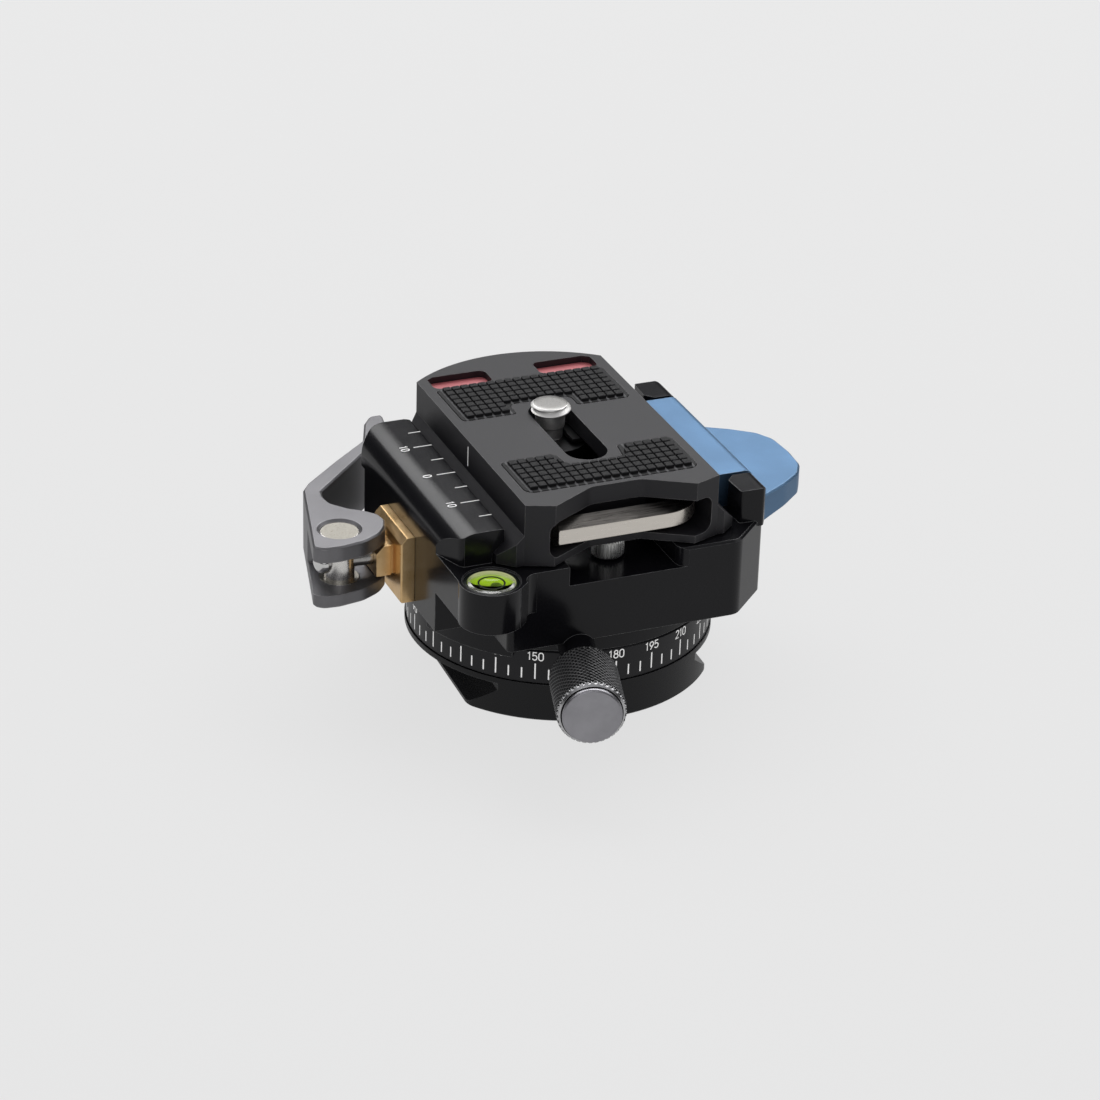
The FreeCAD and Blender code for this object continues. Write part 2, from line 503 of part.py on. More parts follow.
def front_pad_shape(z0, z1, g=0.0):
    return rounded([(-13.9 - g, -19.6 - g), (13.9 + g, -19.6 - g), (13.9 + g, -8.6 + g), (5.0 - g, -8.6 + g), (4.4 - g, -12.9 + g), (-4.4 + g, -12.9 + g), (-5.0 + g, -8.6 + g), (-13.9 - g, -8.6 + g)], z0, z1, [1.6, 1.6, 1.0, 0.8, 1.0, 1.0, 0.8, 1.0])


PAD_Z = PZ1 - 0.7
plate = plate.cut(rear_pad_shape(PAD_Z, 45, 0.03)).cut(front_pad_shape(PAD_Z, 45, 0.03))
for sgn in (-1, 1):
    xs = sorted((sgn * 4.0, sgn * 13.7))
    wn = rounded([(xs[0], 18.75), (xs[1], 18.75), (xs[1], 23.1), (xs[0], 23.1)], PZ1 - 2.3, 45, 1.1)
    wn = wn.common(cyl(0, cy, 20, 45, RA - 1.0))
    plate = plate.cut(wn)
    ins = rounded([(xs[0] + 0.02, 18.77), (xs[1] - 0.02, 18.77), (xs[1] - 0.02, 23.08), (xs[0] + 0.02, 23.08)], PZ1 - 2.3, PZ1 - 1.1, 1.08)
    ins = ins.common(cyl(0, cy, 20, 45, RA - 1.02))
    save("red_insert_left" if sgn < 0 else "red_insert_right", ins)
# stop screw holes, magnet seat
plate = plate.cut(cyl(0, -STOP_Y, 27, 29.3, 1.25)).cut(cyl(0, STOP_Y, 27, 33.0, 1.25))
plate = plate.cut(ycyl(-19.2, -17.1, -7.6, KEY_Z, 1.75))
# thin bevel on the top rim
plate = chamfer_where(plate, 0.3, lambda e: abs(bb(e).ZMin - PZ1) < 0.01 and bb(e).ZLength < 0.01 and
                      (abs(bb(e).XMin) > PW - 0.02 or bb(e).YMax < -20.3 or bb(e).YMin > 22.1))
save("camera_plate", plate)

save("rear_rubber_pad", rear_pad_shape(PAD_Z, PZ1 + 0.7))
save("front_rubber_pad", front_pad_shape(PAD_Z, PZ1 + 0.7))

mag = ycyl(-18.85, -17.15, -7.6, KEY_Z, 1.7)
save("key_magnet", mag)

# stop screws: knurled heads that run in the body channels
def stop_screw(y, top):
    s = cyl(0, y, 25.0, PZ0 - 0.02, 2.55)
    s = chamfer_where(s, 0.3, lambda e: bb(e).ZLength < 0.01)
    s = s.fuse(cyl(0, y, PZ0 - 0.1, top, 1.25))
    return s.cut(hexprism(0, y, 24.9, 26.6, 2.0))


save("stop_screw_front", stop_screw(-STOP_Y, 29.1))
save("stop_screw_rear", stop_screw(STOP_Y, 32.8))

# camera screw
st, TH0, NECK_R = PZ1 + 1.6, PZ1 + 0.05, 2.0
cs = cyl(0, SCREW_Y, TH0, st, SCREW_R)
cs = chamfer_where(cs, 0.5, lambda e: bb(e).ZMin > st - 0.01)
cs = cs.fuse(cyl(0, SCREW_Y, 33.4, TH0 + 0.2, NECK_R)).fuse(cone(0, SCREW_Y, TH0 - 0.75, TH0, NECK_R, SCREW_R - 0.1))
cs = cs.fuse(cyl(0, SCREW_Y, 30.2, 34.0, 6.2))
cs = chamfer_where(cs, 0.4, lambda e: bb(e).ZLength < 0.01 and bb(e).ZMax < 30.3 and bb(e).XMax > 6)
cs = cs.cut(hexprism(0, SCREW_Y, 30, 32.8, 4.0, 30)).cut(box(-7, 7, SCREW_Y - 0.6, SCREW_Y + 0.6, 30.1, 31.2).cut(cyl(0, SCREW_Y, 30, 32, 2.2)))
save("camera_screw", cs)
# flat clip that straddles the neck and runs in side grooves of the channel
clip = rounded([(-7.1, SCREW_Y - 4.4), (7.1, SCREW_Y - 4.4), (7.1, SCREW_Y + 4.4), (-7.1, SCREW_Y + 4.4)], 34.3, 34.95, 1.0)
clip = clip.cut(cyl(0, SCREW_Y, 34, 36, NECK_R + 0.06)).cut(box(-2.0, 2.0, SCREW_Y - 6, SCREW_Y, 34, 36))
save("screw_retaining_clip", clip)

# hex key, L shaped, apex up so that one flat faces forward
r = KEY_AF / math.sqrt(3)
yk, xk, rb, KX0 = -21.0, 12.1, 4.6, -10.0
hexw = Part.makePolygon([V(KX0, yk + r * math.cos(math.radians(60 * i + 30)), KEY_Z + r * math.sin(math.radians(60 * i + 30))) for i in range(7)])
arm1 = Part.Face(hexw).extrude(V(xk - rb - KX0, 0, 0))
arm1 = arm1.common(Part.makeCone(r - 0.15, r + 29.85, 30, V(KX0, yk, KEY_Z), V(1, 0, 0)))
f2 = Part.Face(hexw).copy()
f2.translate(V(xk - rb - KX0, 0, 0))
bend = f2.revolve(V(xk - rb, yk + rb, 0), V(0, 0, 1), 90)
f3 = Part.Face(hexw).copy()
f3.translate(V(xk - rb - KX0, 0, 0))
f3.rotate(V(xk - rb, yk + rb, 0), V(0, 0, 1), 90)
arm2 = f3.extrude(V(0, -2.0 - (yk + rb), 0))
key = arm1.fuse(bend).fuse(arm2)
save("hex_key", key)
print("done")
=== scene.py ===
import bpy, bmesh, math, random
from mathutils import Vector, Matrix


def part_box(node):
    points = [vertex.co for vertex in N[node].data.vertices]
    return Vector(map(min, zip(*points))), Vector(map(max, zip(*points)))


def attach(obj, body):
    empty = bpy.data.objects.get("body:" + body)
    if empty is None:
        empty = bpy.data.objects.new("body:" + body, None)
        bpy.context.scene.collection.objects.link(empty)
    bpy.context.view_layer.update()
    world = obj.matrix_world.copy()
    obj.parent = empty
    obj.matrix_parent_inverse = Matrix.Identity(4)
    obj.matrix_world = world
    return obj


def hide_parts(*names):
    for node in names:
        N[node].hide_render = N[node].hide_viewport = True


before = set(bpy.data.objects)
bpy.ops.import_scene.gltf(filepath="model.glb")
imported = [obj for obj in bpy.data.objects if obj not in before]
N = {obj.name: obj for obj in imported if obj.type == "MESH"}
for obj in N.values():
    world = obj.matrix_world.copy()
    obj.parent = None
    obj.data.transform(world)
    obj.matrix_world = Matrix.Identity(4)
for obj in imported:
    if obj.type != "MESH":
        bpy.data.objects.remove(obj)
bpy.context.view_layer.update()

MM = 0.001
random.seed(7)

# ---------------------------------------------------------------------------
# node helpers
# ---------------------------------------------------------------------------


class Mat:
    """A Principled material with a few shorthands for building its nodes."""

    def __init__(self, name, base, metallic=0.0, rough=0.4, ior=1.45, spec=0.5, coat=0.0, coat_rough=0.1):
        self.m = bpy.data.materials.new(name)
        self.m.use_nodes = True
        self.t = self.m.node_tree
        self.b = [n for n in self.t.nodes if n.type == "BSDF_PRINCIPLED"][0]
        self.b.inputs["Base Color"].default_value = (*base, 1)
        self.b.inputs["Metallic"].default_value = metallic
        self.b.inputs["Roughness"].default_value = rough
        self.b.inputs["IOR"].default_value = ior
        self.b.inputs["Specular IOR Level"].default_value = spec
        self.b.inputs["Coat Weight"].default_value = coat
        self.b.inputs["Coat Roughness"].default_value = coat_rough
        self.m.diffuse_color = (*base, 1)
        self._co = None
        self._nrm = None

    def n(self, kind, **kw):
        x = self.t.nodes.new(kind)
        for k, v in kw.items():
            setattr(x, k, v)
        return x

    def ln(self, a, b):
        self.t.links.new(a, b)

    def co(self):
        if self._co is None:
            self._co = self.n("ShaderNodeTexCoord").outputs["Object"]
        return self._co

    def math(self, op, a, b=None, c=None, clamp=False):
        x = self.n("ShaderNodeMath", operation=op, use_clamp=clamp)
        for i, v in enumerate((a, b, c)):
            if v is None:
                continue
            if isinstance(v, (int, float)):
                x.inputs[i].default_value = v
            else:
                self.ln(v, x.inputs[i])
        return x.outputs[0]

    def noise(self, scale, detail=2.0, rough=0.5, vec=None, stretch=None):
        x = self.n("ShaderNodeTexNoise")
        x.inputs["Scale"].default_value = scale
        x.inputs["Detail"].default_value = detail
        x.inputs["Roughness"].default_value = rough
        v = vec or self.co()
        if stretch:
            mp = self.n("ShaderNodeMapping")
            mp.inputs["Scale"].default_value = stretch
            self.ln(v, mp.inputs["Vector"])
            v = mp.outputs[0]
        self.ln(v, x.inputs["Vector"])
        return x.outputs["Fac"]

    def ramp(self, fac, lo, hi, a, b):
        x = self.n("ShaderNodeMapRange")
        x.clamp = True
        x.inputs["From Min"].default_value = lo
        x.inputs["From Max"].default_value = hi
        x.inputs["To Min"].default_value = a
        x.inputs["To Max"].default_value = b
        self.ln(fac, x.inputs["Value"])
        return x.outputs["Result"]

    def mix(self, fac, a, b):
        x = self.n("ShaderNodeMix", data_type="RGBA")
        for key, v in ((0, fac), (6, a), (7, b)):
            if isinstance(v, (int, float)):
                x.inputs[key].default_value = v
            elif isinstance(v, tuple):
                x.inputs[key].default_value = (*v, 1)
            else:
                self.ln(v, x.inputs[key])
        return x.outputs[2]

    def edge(self, radius, samples=6):
        """Rounded edge normal, and a mask that is 1 on the edge."""
        bv = self.n("ShaderNodeBevel", samples=samples)
        bv.inputs["Radius"].default_value = radius
        ge = self.n("ShaderNodeNewGeometry")
        dt = self.n("ShaderNodeVectorMath", operation="DOT_PRODUCT")
        self.ln(bv.outputs[0], dt.inputs[0])
        self.ln(ge.outputs["True Normal"], dt.inputs[1])
        mask = self.ramp(dt.outputs["Value"], 0.985, 0.90, 0.0, 1.0)
        self._nrm = bv.outputs[0]
        return mask

    def bump(self, height, strength, dist):
        x = self.n("ShaderNodeBump")
        x.inputs["Strength"].default_value = strength
        x.inputs["Distance"].default_value = dist
        self.ln(height, x.inputs["Height"])
        if self._nrm is not None:
            self.ln(self._nrm, x.inputs["Normal"])
        self._nrm = x.outputs[0]

    def color(self, c):
        self.ln(c, self.b.inputs["Base Color"])

    def rough(self, r):
        self.ln(r, self.b.inputs["Roughness"])

    def done(self):
        if self._nrm is not None:
            self.ln(self._nrm, self.b.inputs["Normal"])
        return self.m


def anodised(name, base, edge_highlight, metallic, rough, ior=1.42, radius=0.00016, grain=1.0, turned=False, spec=0.5):
    """Bead-blasted and anodised aluminium: fine grain, soft cloudiness, and edges painted paler as a painted
    highlight.
    """
    k = Mat(name, base, metallic=metallic, rough=rough, ior=ior, spec=spec)
    mask = k.edge(radius)
    fine = k.noise(5200, 3, 0.6)
    cloud = k.noise(90, 3, 0.55)
    tone = k.mix(k.ramp(cloud, 0.3, 0.7, 0.0, 1.0), tuple(c * 0.9 for c in base), tuple(min(1, c * 1.1) for c in base))
    speck = k.mix(k.ramp(fine, 0.56, 0.75, 0.0, 0.35), tone, tuple(min(1, c * 1.5 + 0.003) for c in base))
    # edges are painted paler here, a painted highlight broken up by noise
    edge_highlight_mask = k.math("MULTIPLY", mask, k.ramp(k.noise(700, 3, 0.6), 0.35, 0.65, 0.35, 0.9))
    k.color(k.mix(edge_highlight_mask, speck, edge_highlight))
    r = k.math("ADD", k.ramp(fine, 0.3, 0.7, rough - 0.03, rough + 0.03), k.ramp(cloud, 0.3, 0.7, -0.015, 0.02))
    k.rough(r)
    k.bump(fine, 0.16 * grain, 0.00002)
    if turned:
        v = k.n("ShaderNodeSeparateXYZ")
        k.ln(k.co(), v.inputs[0])
        rr = k.math("SQRT", k.math("ADD", k.math("MULTIPLY", v.outputs[0], v.outputs[0]), k.math("MULTIPLY", v.outputs[1], v.outputs[1])))
        cv = k.n("ShaderNodeCombineXYZ")
        k.ln(rr, cv.inputs[0])
        k.ln(v.outputs[2], cv.inputs[1])
        k.bump(k.noise(9000, 2, 0.5, vec=cv.outputs[0]), 0.22, 0.000012)
    return k.done()


def metal(name, base, rough, grain_dir=None, radius=0.00012, rough_var=0.05, bump=0.15, scale=4000, tint=None):
    """Bare metal with machining grain; grain_dir stretches the grain."""
    k = Mat(name, base, metallic=1.0, rough=rough)
    mask = k.edge(radius, 4)
    g = k.noise(scale, 3, 0.6, stretch=grain_dir)
    c = k.noise(300, 3, 0.6)
    a = k.mix(k.ramp(c, 0.3, 0.7, 0, 1), tuple(x * 0.88 for x in base), tint or tuple(min(1, x * 1.06) for x in base))
    # edges are painted a little lighter through the bevel mask: a painted highlight
    k.color(k.mix(k.math("MULTIPLY", mask, 0.35), a, tuple(min(1, x * 1.25) for x in base)))
    k.rough(k.math("ADD", k.ramp(g, 0.3, 0.7, rough - rough_var, rough + rough_var), k.ramp(c, 0.3, 0.7, -0.02, 0.03)))
    k.bump(g, bump, 0.00002)
    return k.done()


# the second colour of each anodised finish is its painted edge highlight
BLACK = (0.0075, 0.0074, 0.0092)
m_black = anodised("black_anodised", BLACK, (0.26, 0.26, 0.265), 0.0, 0.19, spec=0.4)
m_plate = anodised("black_anodised_plate", (0.0155, 0.0150, 0.0185), (0.30, 0.295, 0.30), 0.0, 0.48, grain=1.8, spec=0.62)
m_ring = anodised("black_anodised_turned", (0.0145, 0.0143, 0.0165), (0.11, 0.11, 0.115), 0.0, 0.30, turned=True, spec=0.42)
m_foot = anodised("black_anodised_foot", (0.0065, 0.0065, 0.0078), (0.11, 0.11, 0.115), 0.0, 0.28, turned=True, spec=0.42)
m_lever = anodised("titanium_anodised", (0.215, 0.212, 0.222), (0.46, 0.45, 0.45), 0.82, 0.40, grain=1.6)
m_blue = anodised("blue_anodised", (0.13, 0.24, 0.395), (0.38, 0.50, 0.63), 0.82, 0.42, grain=1.4)


def knurl_finish():
    """Black knurl whose tips are lighter than its grooves."""
    k = Mat("black_knurl", (0.02, 0.02, 0.022), metallic=0.2, rough=0.34, spec=0.5)
    ct = k.n("ShaderNodeVectorMath", operation="SUBTRACT")
    k.ln(k.co(), ct.inputs[0])
    ct.inputs[1].default_value = (0, 0, 0.01345)
    cx_ = k.n("ShaderNodeVectorMath", operation="CROSS_PRODUCT")
    k.ln(ct.outputs[0], cx_.inputs[0])
    cx_.inputs[1].default_value = (-0.280667, -0.959805, 0.0)
    le = k.n("ShaderNodeVectorMath", operation="LENGTH")
    k.ln(cx_.outputs[0], le.inputs[0])
    tip = k.ramp(le.outputs["Value"], 0.00500, 0.00514, 0.0, 1.0)
    g = k.noise(5200, 3, 0.6)
    k.color(k.mix(k.math("POWER", tip, 2.2), (0.006, 0.006, 0.0068), (0.21, 0.21, 0.215)))
    k.rough(k.ramp(g, 0.3, 0.7, 0.28, 0.4))
    return k.done()


m_knob = knurl_finish()
m_alu = metal("plain_aluminium", (0.56, 0.56, 0.58), 0.38, scale=6000, bump=0.2)
m_steel = metal("stainless_turned", (0.50, 0.49, 0.475), 0.22, scale=5200, grain_dir=(1, 1, 0.15), bump=0.08)


def screw_finish(name, side, lo, hi, rough):
    """Bright side; the face that points up is painted darker, a painted shade, and gets its own roughness."""
    k = Mat(name, side, metallic=1.0, rough=rough)
    k.edge(0.0001, 4)
    up = k.n("ShaderNodeSeparateXYZ")
    k.ln(k.n("ShaderNodeNewGeometry").outputs["True Normal"], up.inputs[0])
    g = k.noise(4200, 3, 0.6)
    t = k.ramp(up.outputs[2], 0.9, 0.98, 0.0, 1.0)
    # the up-facing face takes the darker lo..hi colour: painted shade
    k.color(k.mix(t, side, k.mix(k.ramp(g, 0.3, 0.7, 0, 1), lo, hi)))
    k.rough(k.math("ADD", k.ramp(g, 0.3, 0.7, -0.05, 0.05), k.ramp(t, 0.0, 1.0, rough, 0.32)))
    k.bump(g, 0.25, 0.00002)
    return k.done()


m_screw = screw_finish("stainless_screw", (0.95, 0.94, 0.92), (0.28, 0.275, 0.266), (0.40, 0.393, 0.38), 0.5)
m_pin = screw_finish("pin_face", (0.9, 0.88, 0.85), (0.30, 0.285, 0.25), (0.42, 0.40, 0.355), 0.25)
m_steel2 = metal("stainless_plain", (0.6, 0.6, 0.59), 0.3)
m_chrome = metal("chrome_polished", (0.82, 0.82, 0.81), 0.06, bump=0.02)


def key_finish():
    """Satin nickel; the flats that face up are painted dark and streaked, a painted shade."""
    k = Mat("nickel_satin", (0.66, 0.62, 0.56), metallic=1.0, rough=0.3)
    k.edge(0.00012, 4)
    up = k.n("ShaderNodeSeparateXYZ")
    k.ln(k.n("ShaderNodeNewGeometry").outputs["True Normal"], up.inputs[0])
    g = k.noise(4000, 3, 0.6, stretch=(0.06, 1, 1))
    t = k.ramp(up.outputs[2], 0.25, 0.6, 0.0, 1.0)
    v = k.n("ShaderNodeSeparateXYZ")
    k.ln(k.co(), v.inputs[0])
    t = k.math("MULTIPLY", t, k.ramp(v.outputs[0], -0.010, 0.004, 0.85, 1.0))
    # painted shade for the up-facing flats, a little weaker towards -X
    up_face_shade = k.mix(k.ramp(g, 0.3, 0.7, 0, 1), (0.10, 0.094, 0.088), (0.28, 0.265, 0.245))
    k.color(k.mix(t, (0.86, 0.81, 0.74), up_face_shade))
    k.rough(k.ramp(g, 0.3, 0.7, 0.25, 0.36))
    k.bump(g, 0.4, 0.00002)
    return k.done()


m_nickel = key_finish()
m_brass = metal("brass_machined", (0.80, 0.52, 0.235), 0.32, grain_dir=(1, 0.15, 1), bump=0.5, tint=(0.88, 0.63, 0.34), radius=0.0002)
m_bsteel = metal("blackened_steel", (0.05, 0.05, 0.05), 0.4)
m_knurled = metal("stainless_knurled", (0.85, 0.85, 0.84), 0.3, radius=0.00003, bump=0.03)
m_serr = metal("cut_chamfer", (0.62, 0.62, 0.63), 0.25, bump=0.1)


def plastic(name, base, rough, bump=0.1, scale=3000, spec=0.5, var=0.12, glow=0.0):
    k = Mat(name, base, rough=rough, ior=1.47, spec=spec)
    k.b.inputs["Emission Color"].default_value = (*base, 1)
    k.b.inputs["Emission Strength"].default_value = glow
    k.edge(0.0001, 4)
    g = k.noise(scale, 3, 0.6)
    c = k.noise(220, 3, 0.6)
    k.color(k.mix(k.ramp(c, 0.3, 0.7, 0, 1), tuple(x * (1 - var) for x in base), tuple(min(1, x * (1 + var)) for x in base)))
    k.rough(k.ramp(g, 0.3, 0.7, rough - 0.05, rough + 0.05))
    k.bump(g, bump, 0.00003)
    return k.done()


m_nylon = plastic("nylon", (0.7, 0.69, 0.65), 0.45)
m_red = plastic("coral_red", (0.56, 0.15, 0.165), 0.5, bump=0.2)
# the white marks glow through emission (0.42): painted light
m_white = plastic("white_paint", (0.88, 0.88, 0.87), 0.55, bump=0.15, scale=9000, var=0.05, glow=0.42)
m_cap = metal("cap_satin", (0.40, 0.395, 0.42), 0.36, scale=6000, bump=0.4)
m_clip = metal("dark_clip", (0.05, 0.05, 0.052), 0.45)
m_dark = plastic("gap_black", (0.006, 0.006, 0.007), 0.6)


def rubber(name, top, floor, z0, z1):
    """Moulded rubber: near-black blocks, lighter on the floors of the grooves between columns; the sloped rims of the
    blocks are painted lighter, a painted highlight.
    """
    k = Mat(name, top, rough=0.62, ior=1.5, spec=0.3)
    v = k.n("ShaderNodeSeparateXYZ")
    k.ln(k.co(), v.inputs[0])
    h = k.ramp(v.outputs[2], z0, z1, 1.0, 0.0)
    col = k.math("PINGPONG", k.math("DIVIDE", v.outputs[0], 0.00145), 0.5)
    h = k.math("MULTIPLY", h, k.ramp(col, 0.11, 0.14, 1.0, 0.06))
    g = k.noise(2600, 4, 0.65)
    groove_floor_mask = k.math("MULTIPLY", h, k.ramp(g, 0.25, 0.6, 0.55, 1.0))
    base = k.mix(k.ramp(k.noise(500, 3, 0.6), 0.3, 0.7, 0, 1), tuple(x * 0.8 for x in top), tuple(x * 1.25 for x in top))
    nz = k.n("ShaderNodeSeparateXYZ")
    k.ln(k.n("ShaderNodeNewGeometry").outputs["True Normal"], nz.inputs[0])
    # sloped upper rims of the blocks are painted lighter: painted highlight
    rim = k.math("MULTIPLY", k.ramp(nz.outputs[2], 0.9, 0.8, 0.0, 1.0), k.ramp(v.outputs[2], z1 + 0.00028, z1 + 0.00034, 0.0, 1.0))
    rim = k.math("MULTIPLY", rim, k.ramp(g, 0.3, 0.6, 0.5, 1.0))
    k.color(k.mix(rim, k.mix(groove_floor_mask, base, floor), (0.15, 0.15, 0.155)))
    k.rough(k.ramp(g, 0.3, 0.7, 0.55, 0.72))
    k.bump(g, 0.5, 0.00004)
    return k.done()


m_rubber = rubber("black_rubber", (0.0085, 0.0083, 0.0092), (0.13, 0.13, 0.135), 0.03800, 0.03812)

# ---------------------------------------------------------------------------
# CAD nodes keep their solids and get their finish
# ---------------------------------------------------------------------------
FINISH = {
    "dovetail_base": m_foot, "tripod_thread_bush": m_steel2, "scale_ring": m_ring, "ring_screws": m_bsteel,
    "panning_hub": m_alu, "base_screws": m_steel2, "retaining_ring": m_alu, "retaining_screws": m_steel2,
    "lower_friction_washer": m_nylon, "upper_friction_washer": m_nylon, "clamp_body": m_black,
    "brass_cam_block": m_brass, "jaw_hinge_pin": m_steel2, "pan_lock_shoe": m_brass, "draw_bar": m_steel,
    "lever_barrel_pin": m_pin, "draw_bar_dome_nut": m_chrome, "draw_bar_slotted_nut": m_steel2,
    "jaw_disc_springs": m_bsteel, "clamp_lever": m_lever, "rocking_jaw": m_blue, "camera_plate": m_plate,
    "red_insert_left": m_red, "red_insert_right": m_red, "key_magnet": m_nickel,
    "screw_retaining_clip": m_clip, "hex_key": m_nickel,
}
for name, mat in FINISH.items():
    o = N[name]
    o.data.materials.clear()
    o.data.materials.append(mat)
    for p in o.data.polygons:
        p.material_index = 0

# ---------------------------------------------------------------------------
# mesh helpers
# ---------------------------------------------------------------------------


def make(name, verts, faces, mats, body, replaces=(), midx=None, smooth=True, angle=35):
    me = bpy.data.meshes.new(name)
    me.from_pydata([tuple(v) for v in verts], [], faces)
    bm = bmesh.new()
    bm.from_mesh(me)
    if midx is not None:
        bm.faces.ensure_lookup_table()
        for f, i in zip(bm.faces, midx):
            f.material_index = i
    bmesh.ops.remove_doubles(bm, verts=bm.verts, dist=1e-8)
    bmesh.ops.recalc_face_normals(bm, faces=bm.faces)
    for f in bm.faces:
        f.smooth = smooth
    lim = math.radians(angle)
    for e in bm.edges:
        if len(e.link_faces) == 2 and e.calc_face_angle(0) > lim:
            e.smooth = False
    bm.to_mesh(me)
    bm.free()
    for m in mats:
        me.materials.append(m)
    o = bpy.data.objects.new(name, me)
    bpy.context.scene.collection.objects.link(o)
    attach(o, body)
    if replaces:
        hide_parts(*replaces)
    return o


class Build:
    def __init__(self):
        self.v, self.f, self.m = [], [], []

    def add(self, verts, faces, mat=0, fn=None):
        k = len(self.v)
        self.v += [tuple(fn(p)) if fn else tuple(p) for p in verts]
        self.f += [tuple(i + k for i in f) for f in faces]
        self.m += (mat if isinstance(mat, list) else [mat] * len(faces))

    def lathe(self, prof, n, fn=None, mat=0, rfun=None, closed=False):
        """prof is [(axial, radius)] or [(axial, radius, mat)]; rfun(axial, radius, theta) may alter the radius."""
        verts, faces, mats = [], [], []
        rows = []
        for p in prof:
            a, r = p[0], p[1]
            if r < 1e-9:
                rows.append([len(verts)])
                verts.append((0.0, 0.0, a))
                continue
            row = []
            for j in range(n):
                th = 2 * math.pi * j / n
                rr = rfun(a, r, th) if rfun else r
                row.append(len(verts))
                verts.append((rr * math.cos(th), rr * math.sin(th), a))
            rows.append(row)
        seq = list(range(len(rows) - 1))
        for i in seq:
            A, B = rows[i], rows[i + 1]
            mi = prof[i + 1][2] if len(prof[i + 1]) > 2 else mat
            for j in range(n):
                k = (j + 1) % n
                if len(A) == 1 and len(B) == 1:
                    continue
                if len(A) == 1:
                    faces.append((A[0], B[j], B[k]))
                elif len(B) == 1:
                    faces.append((A[j], B[0], A[k]))
                else:
                    faces.append((A[j], B[j], B[k], A[k]))
                mats.append(mi)
        if closed:
            A, B = rows[-1], rows[0]
            for j in range(n):
                k = (j + 1) % n
                faces.append((A[j], B[j], B[k], A[k]))
                mats.append(mat)
        self.add(verts, faces, mats, fn)

    def prism(self, pts, z0, z1, fn=None, mat=0, top=None):
        n = len(pts)
        top = top or pts
        verts = [(x, y, z0) for x, y in pts] + [(x, y, z1) for x, y in top]
        faces = [tuple(range(n - 1, -1, -1)), tuple(range(n, 2 * n))]
        faces += [(i, (i + 1) % n, n + (i + 1) % n, n + i) for i in range(n)]
        self.add(verts, faces, mat, fn)


def mm(p):
    return (p[0] * MM, p[1] * MM, p[2] * MM)


def zaxis(x, y):
    return lambda p: ((p[0] + x) * MM, (p[1] + y) * MM, p[2] * MM)


def tri(t):
    t = t - math.floor(t)
    return 1 - abs(2 * t - 1)


# ---------------------------------------------------------------------------
# lock knob: diamond knurl, cut chamfer, dark groove and satin cap
# ---------------------------------------------------------------------------
LOCK_Z, KN0, KN1, KR, CR, CO = 13.45, 33.4, 45.3, 5.15, 4.42, 0.75
lo_k, hi_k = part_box("pan_lock_knob")
D = Vector((-0.280667, -0.959805, 0.0))
S = Vector((0.959805, -0.280667, 0.0))
Z = Vector((0, 0, 1))


def lock(p):
    q = D * p[2] + S * p[0] + Z * (p[1] + LOCK_Z)
    return q * MM


NA, SUB = 36, 10
PITCH = 0.92


def knurl(a, r, th):
    if a < KN0 + 0.35 or a > KN1 - 0.02 or r < KR - 1.0:
        return r
    u = th * NA / (2 * math.pi)
    w = (a - KN0) / PITCH
    h = max(tri(u + w), tri(u - w))
    h = min(1.0, max(0.0, (h - 0.56) / 0.40))
    return min(r, KR - 0.27 * (1 - h))


b = Build()
prof = [(30.7, 0.0), (30.7, 2.6), (KN0 + 0.1, 2.6), (KN0 + 0.1, 3.0, 0)]
for i in range(7):
    t = math.pi / 2 * i / 6
    prof.append((KN0 + 1.1 * (1 - math.cos(t)), KR - 1.1 + 1.1 * math.sin(t), 0))
x = KN0 + 1.1
step = PITCH / SUB
while x < KN1 - 0.56:
    prof.append((x, KR, 0))
    x += step
for i in range(6):
    t = i / 5
    prof.append((KN1 - 0.55 + 0.55 * t, KR - 0.55 * t, 1))
prof += [(KN1, KR - 0.55, 1), (KN1, CR + 0.12, 2), (KN1 - 0.5, CR + 0.1, 2), (KN1 - 1.2, CR + 0.1, 2), (KN1 - 1.2, 0.0, 2)]
b.lathe(prof, NA * SUB, fn=lock, rfun=knurl)
make("pan_lock_knob_knurled", b.v, b.f, [m_knob, m_serr, m_dark], "lock_knob", ["pan_lock_knob"], b.m, angle=28)

b = Build()
cp = [(KN1 - 1.1, 0.0), (KN1 - 1.1, CR)]
for i in range(9):
    t = math.pi / 2 * i / 8
    cp.append((KN1 + CO - 0.4 + 0.4 * math.sin(t), CR - 0.4 + 0.4 * math.cos(t)))
cp += [(KN1 + CO, CR * 0.6), (KN1 + CO, CR * 0.3), (KN1 + CO, 0.0)]
b.lathe(cp, 128, fn=lock)
make("pan_knob_cap_satin", b.v, b.f, [m_cap], "lock_knob", ["pan_knob_cap"], b.m)

# ---------------------------------------------------------------------------
# camera screw: real thread, relieved neck, head with hex socket and coin slot
# ---------------------------------------------------------------------------
SY, SR, ST, TH0, NR = 5.4, 3.175, 39.5, 38.35, 2.0
P = 1.27


def copy_above(name, zcut, keep_below=True):
    """Copy of a CAD node's mesh without what lies above zcut."""
    bm = bmesh.new()
    bm.from_mesh(N[name].data)
    bmesh.ops.remove_doubles(bm, verts=bm.verts, dist=1e-7)
    bmesh.ops.delete(bm, geom=[f for f in bm.faces if f.calc_center_median().z > zcut * MM], context="FACES")
    bmesh.ops.holes_fill(bm, edges=[e for e in bm.edges if len(e.link_faces) == 1], sides=0)
    bmesh.ops.triangulate(bm, faces=[f for f in bm.faces if len(f.verts) > 4])
    vs = [tuple(v.co) for v in bm.verts]
    bm.verts.index_update()
    fs = [tuple(v.index for v in f.verts) for f in bm.faces]
    bm.free()
    return vs, fs


b = Build()
vs, fs = copy_above("camera_screw", 34.02)
b.add(vs, fs, 1)


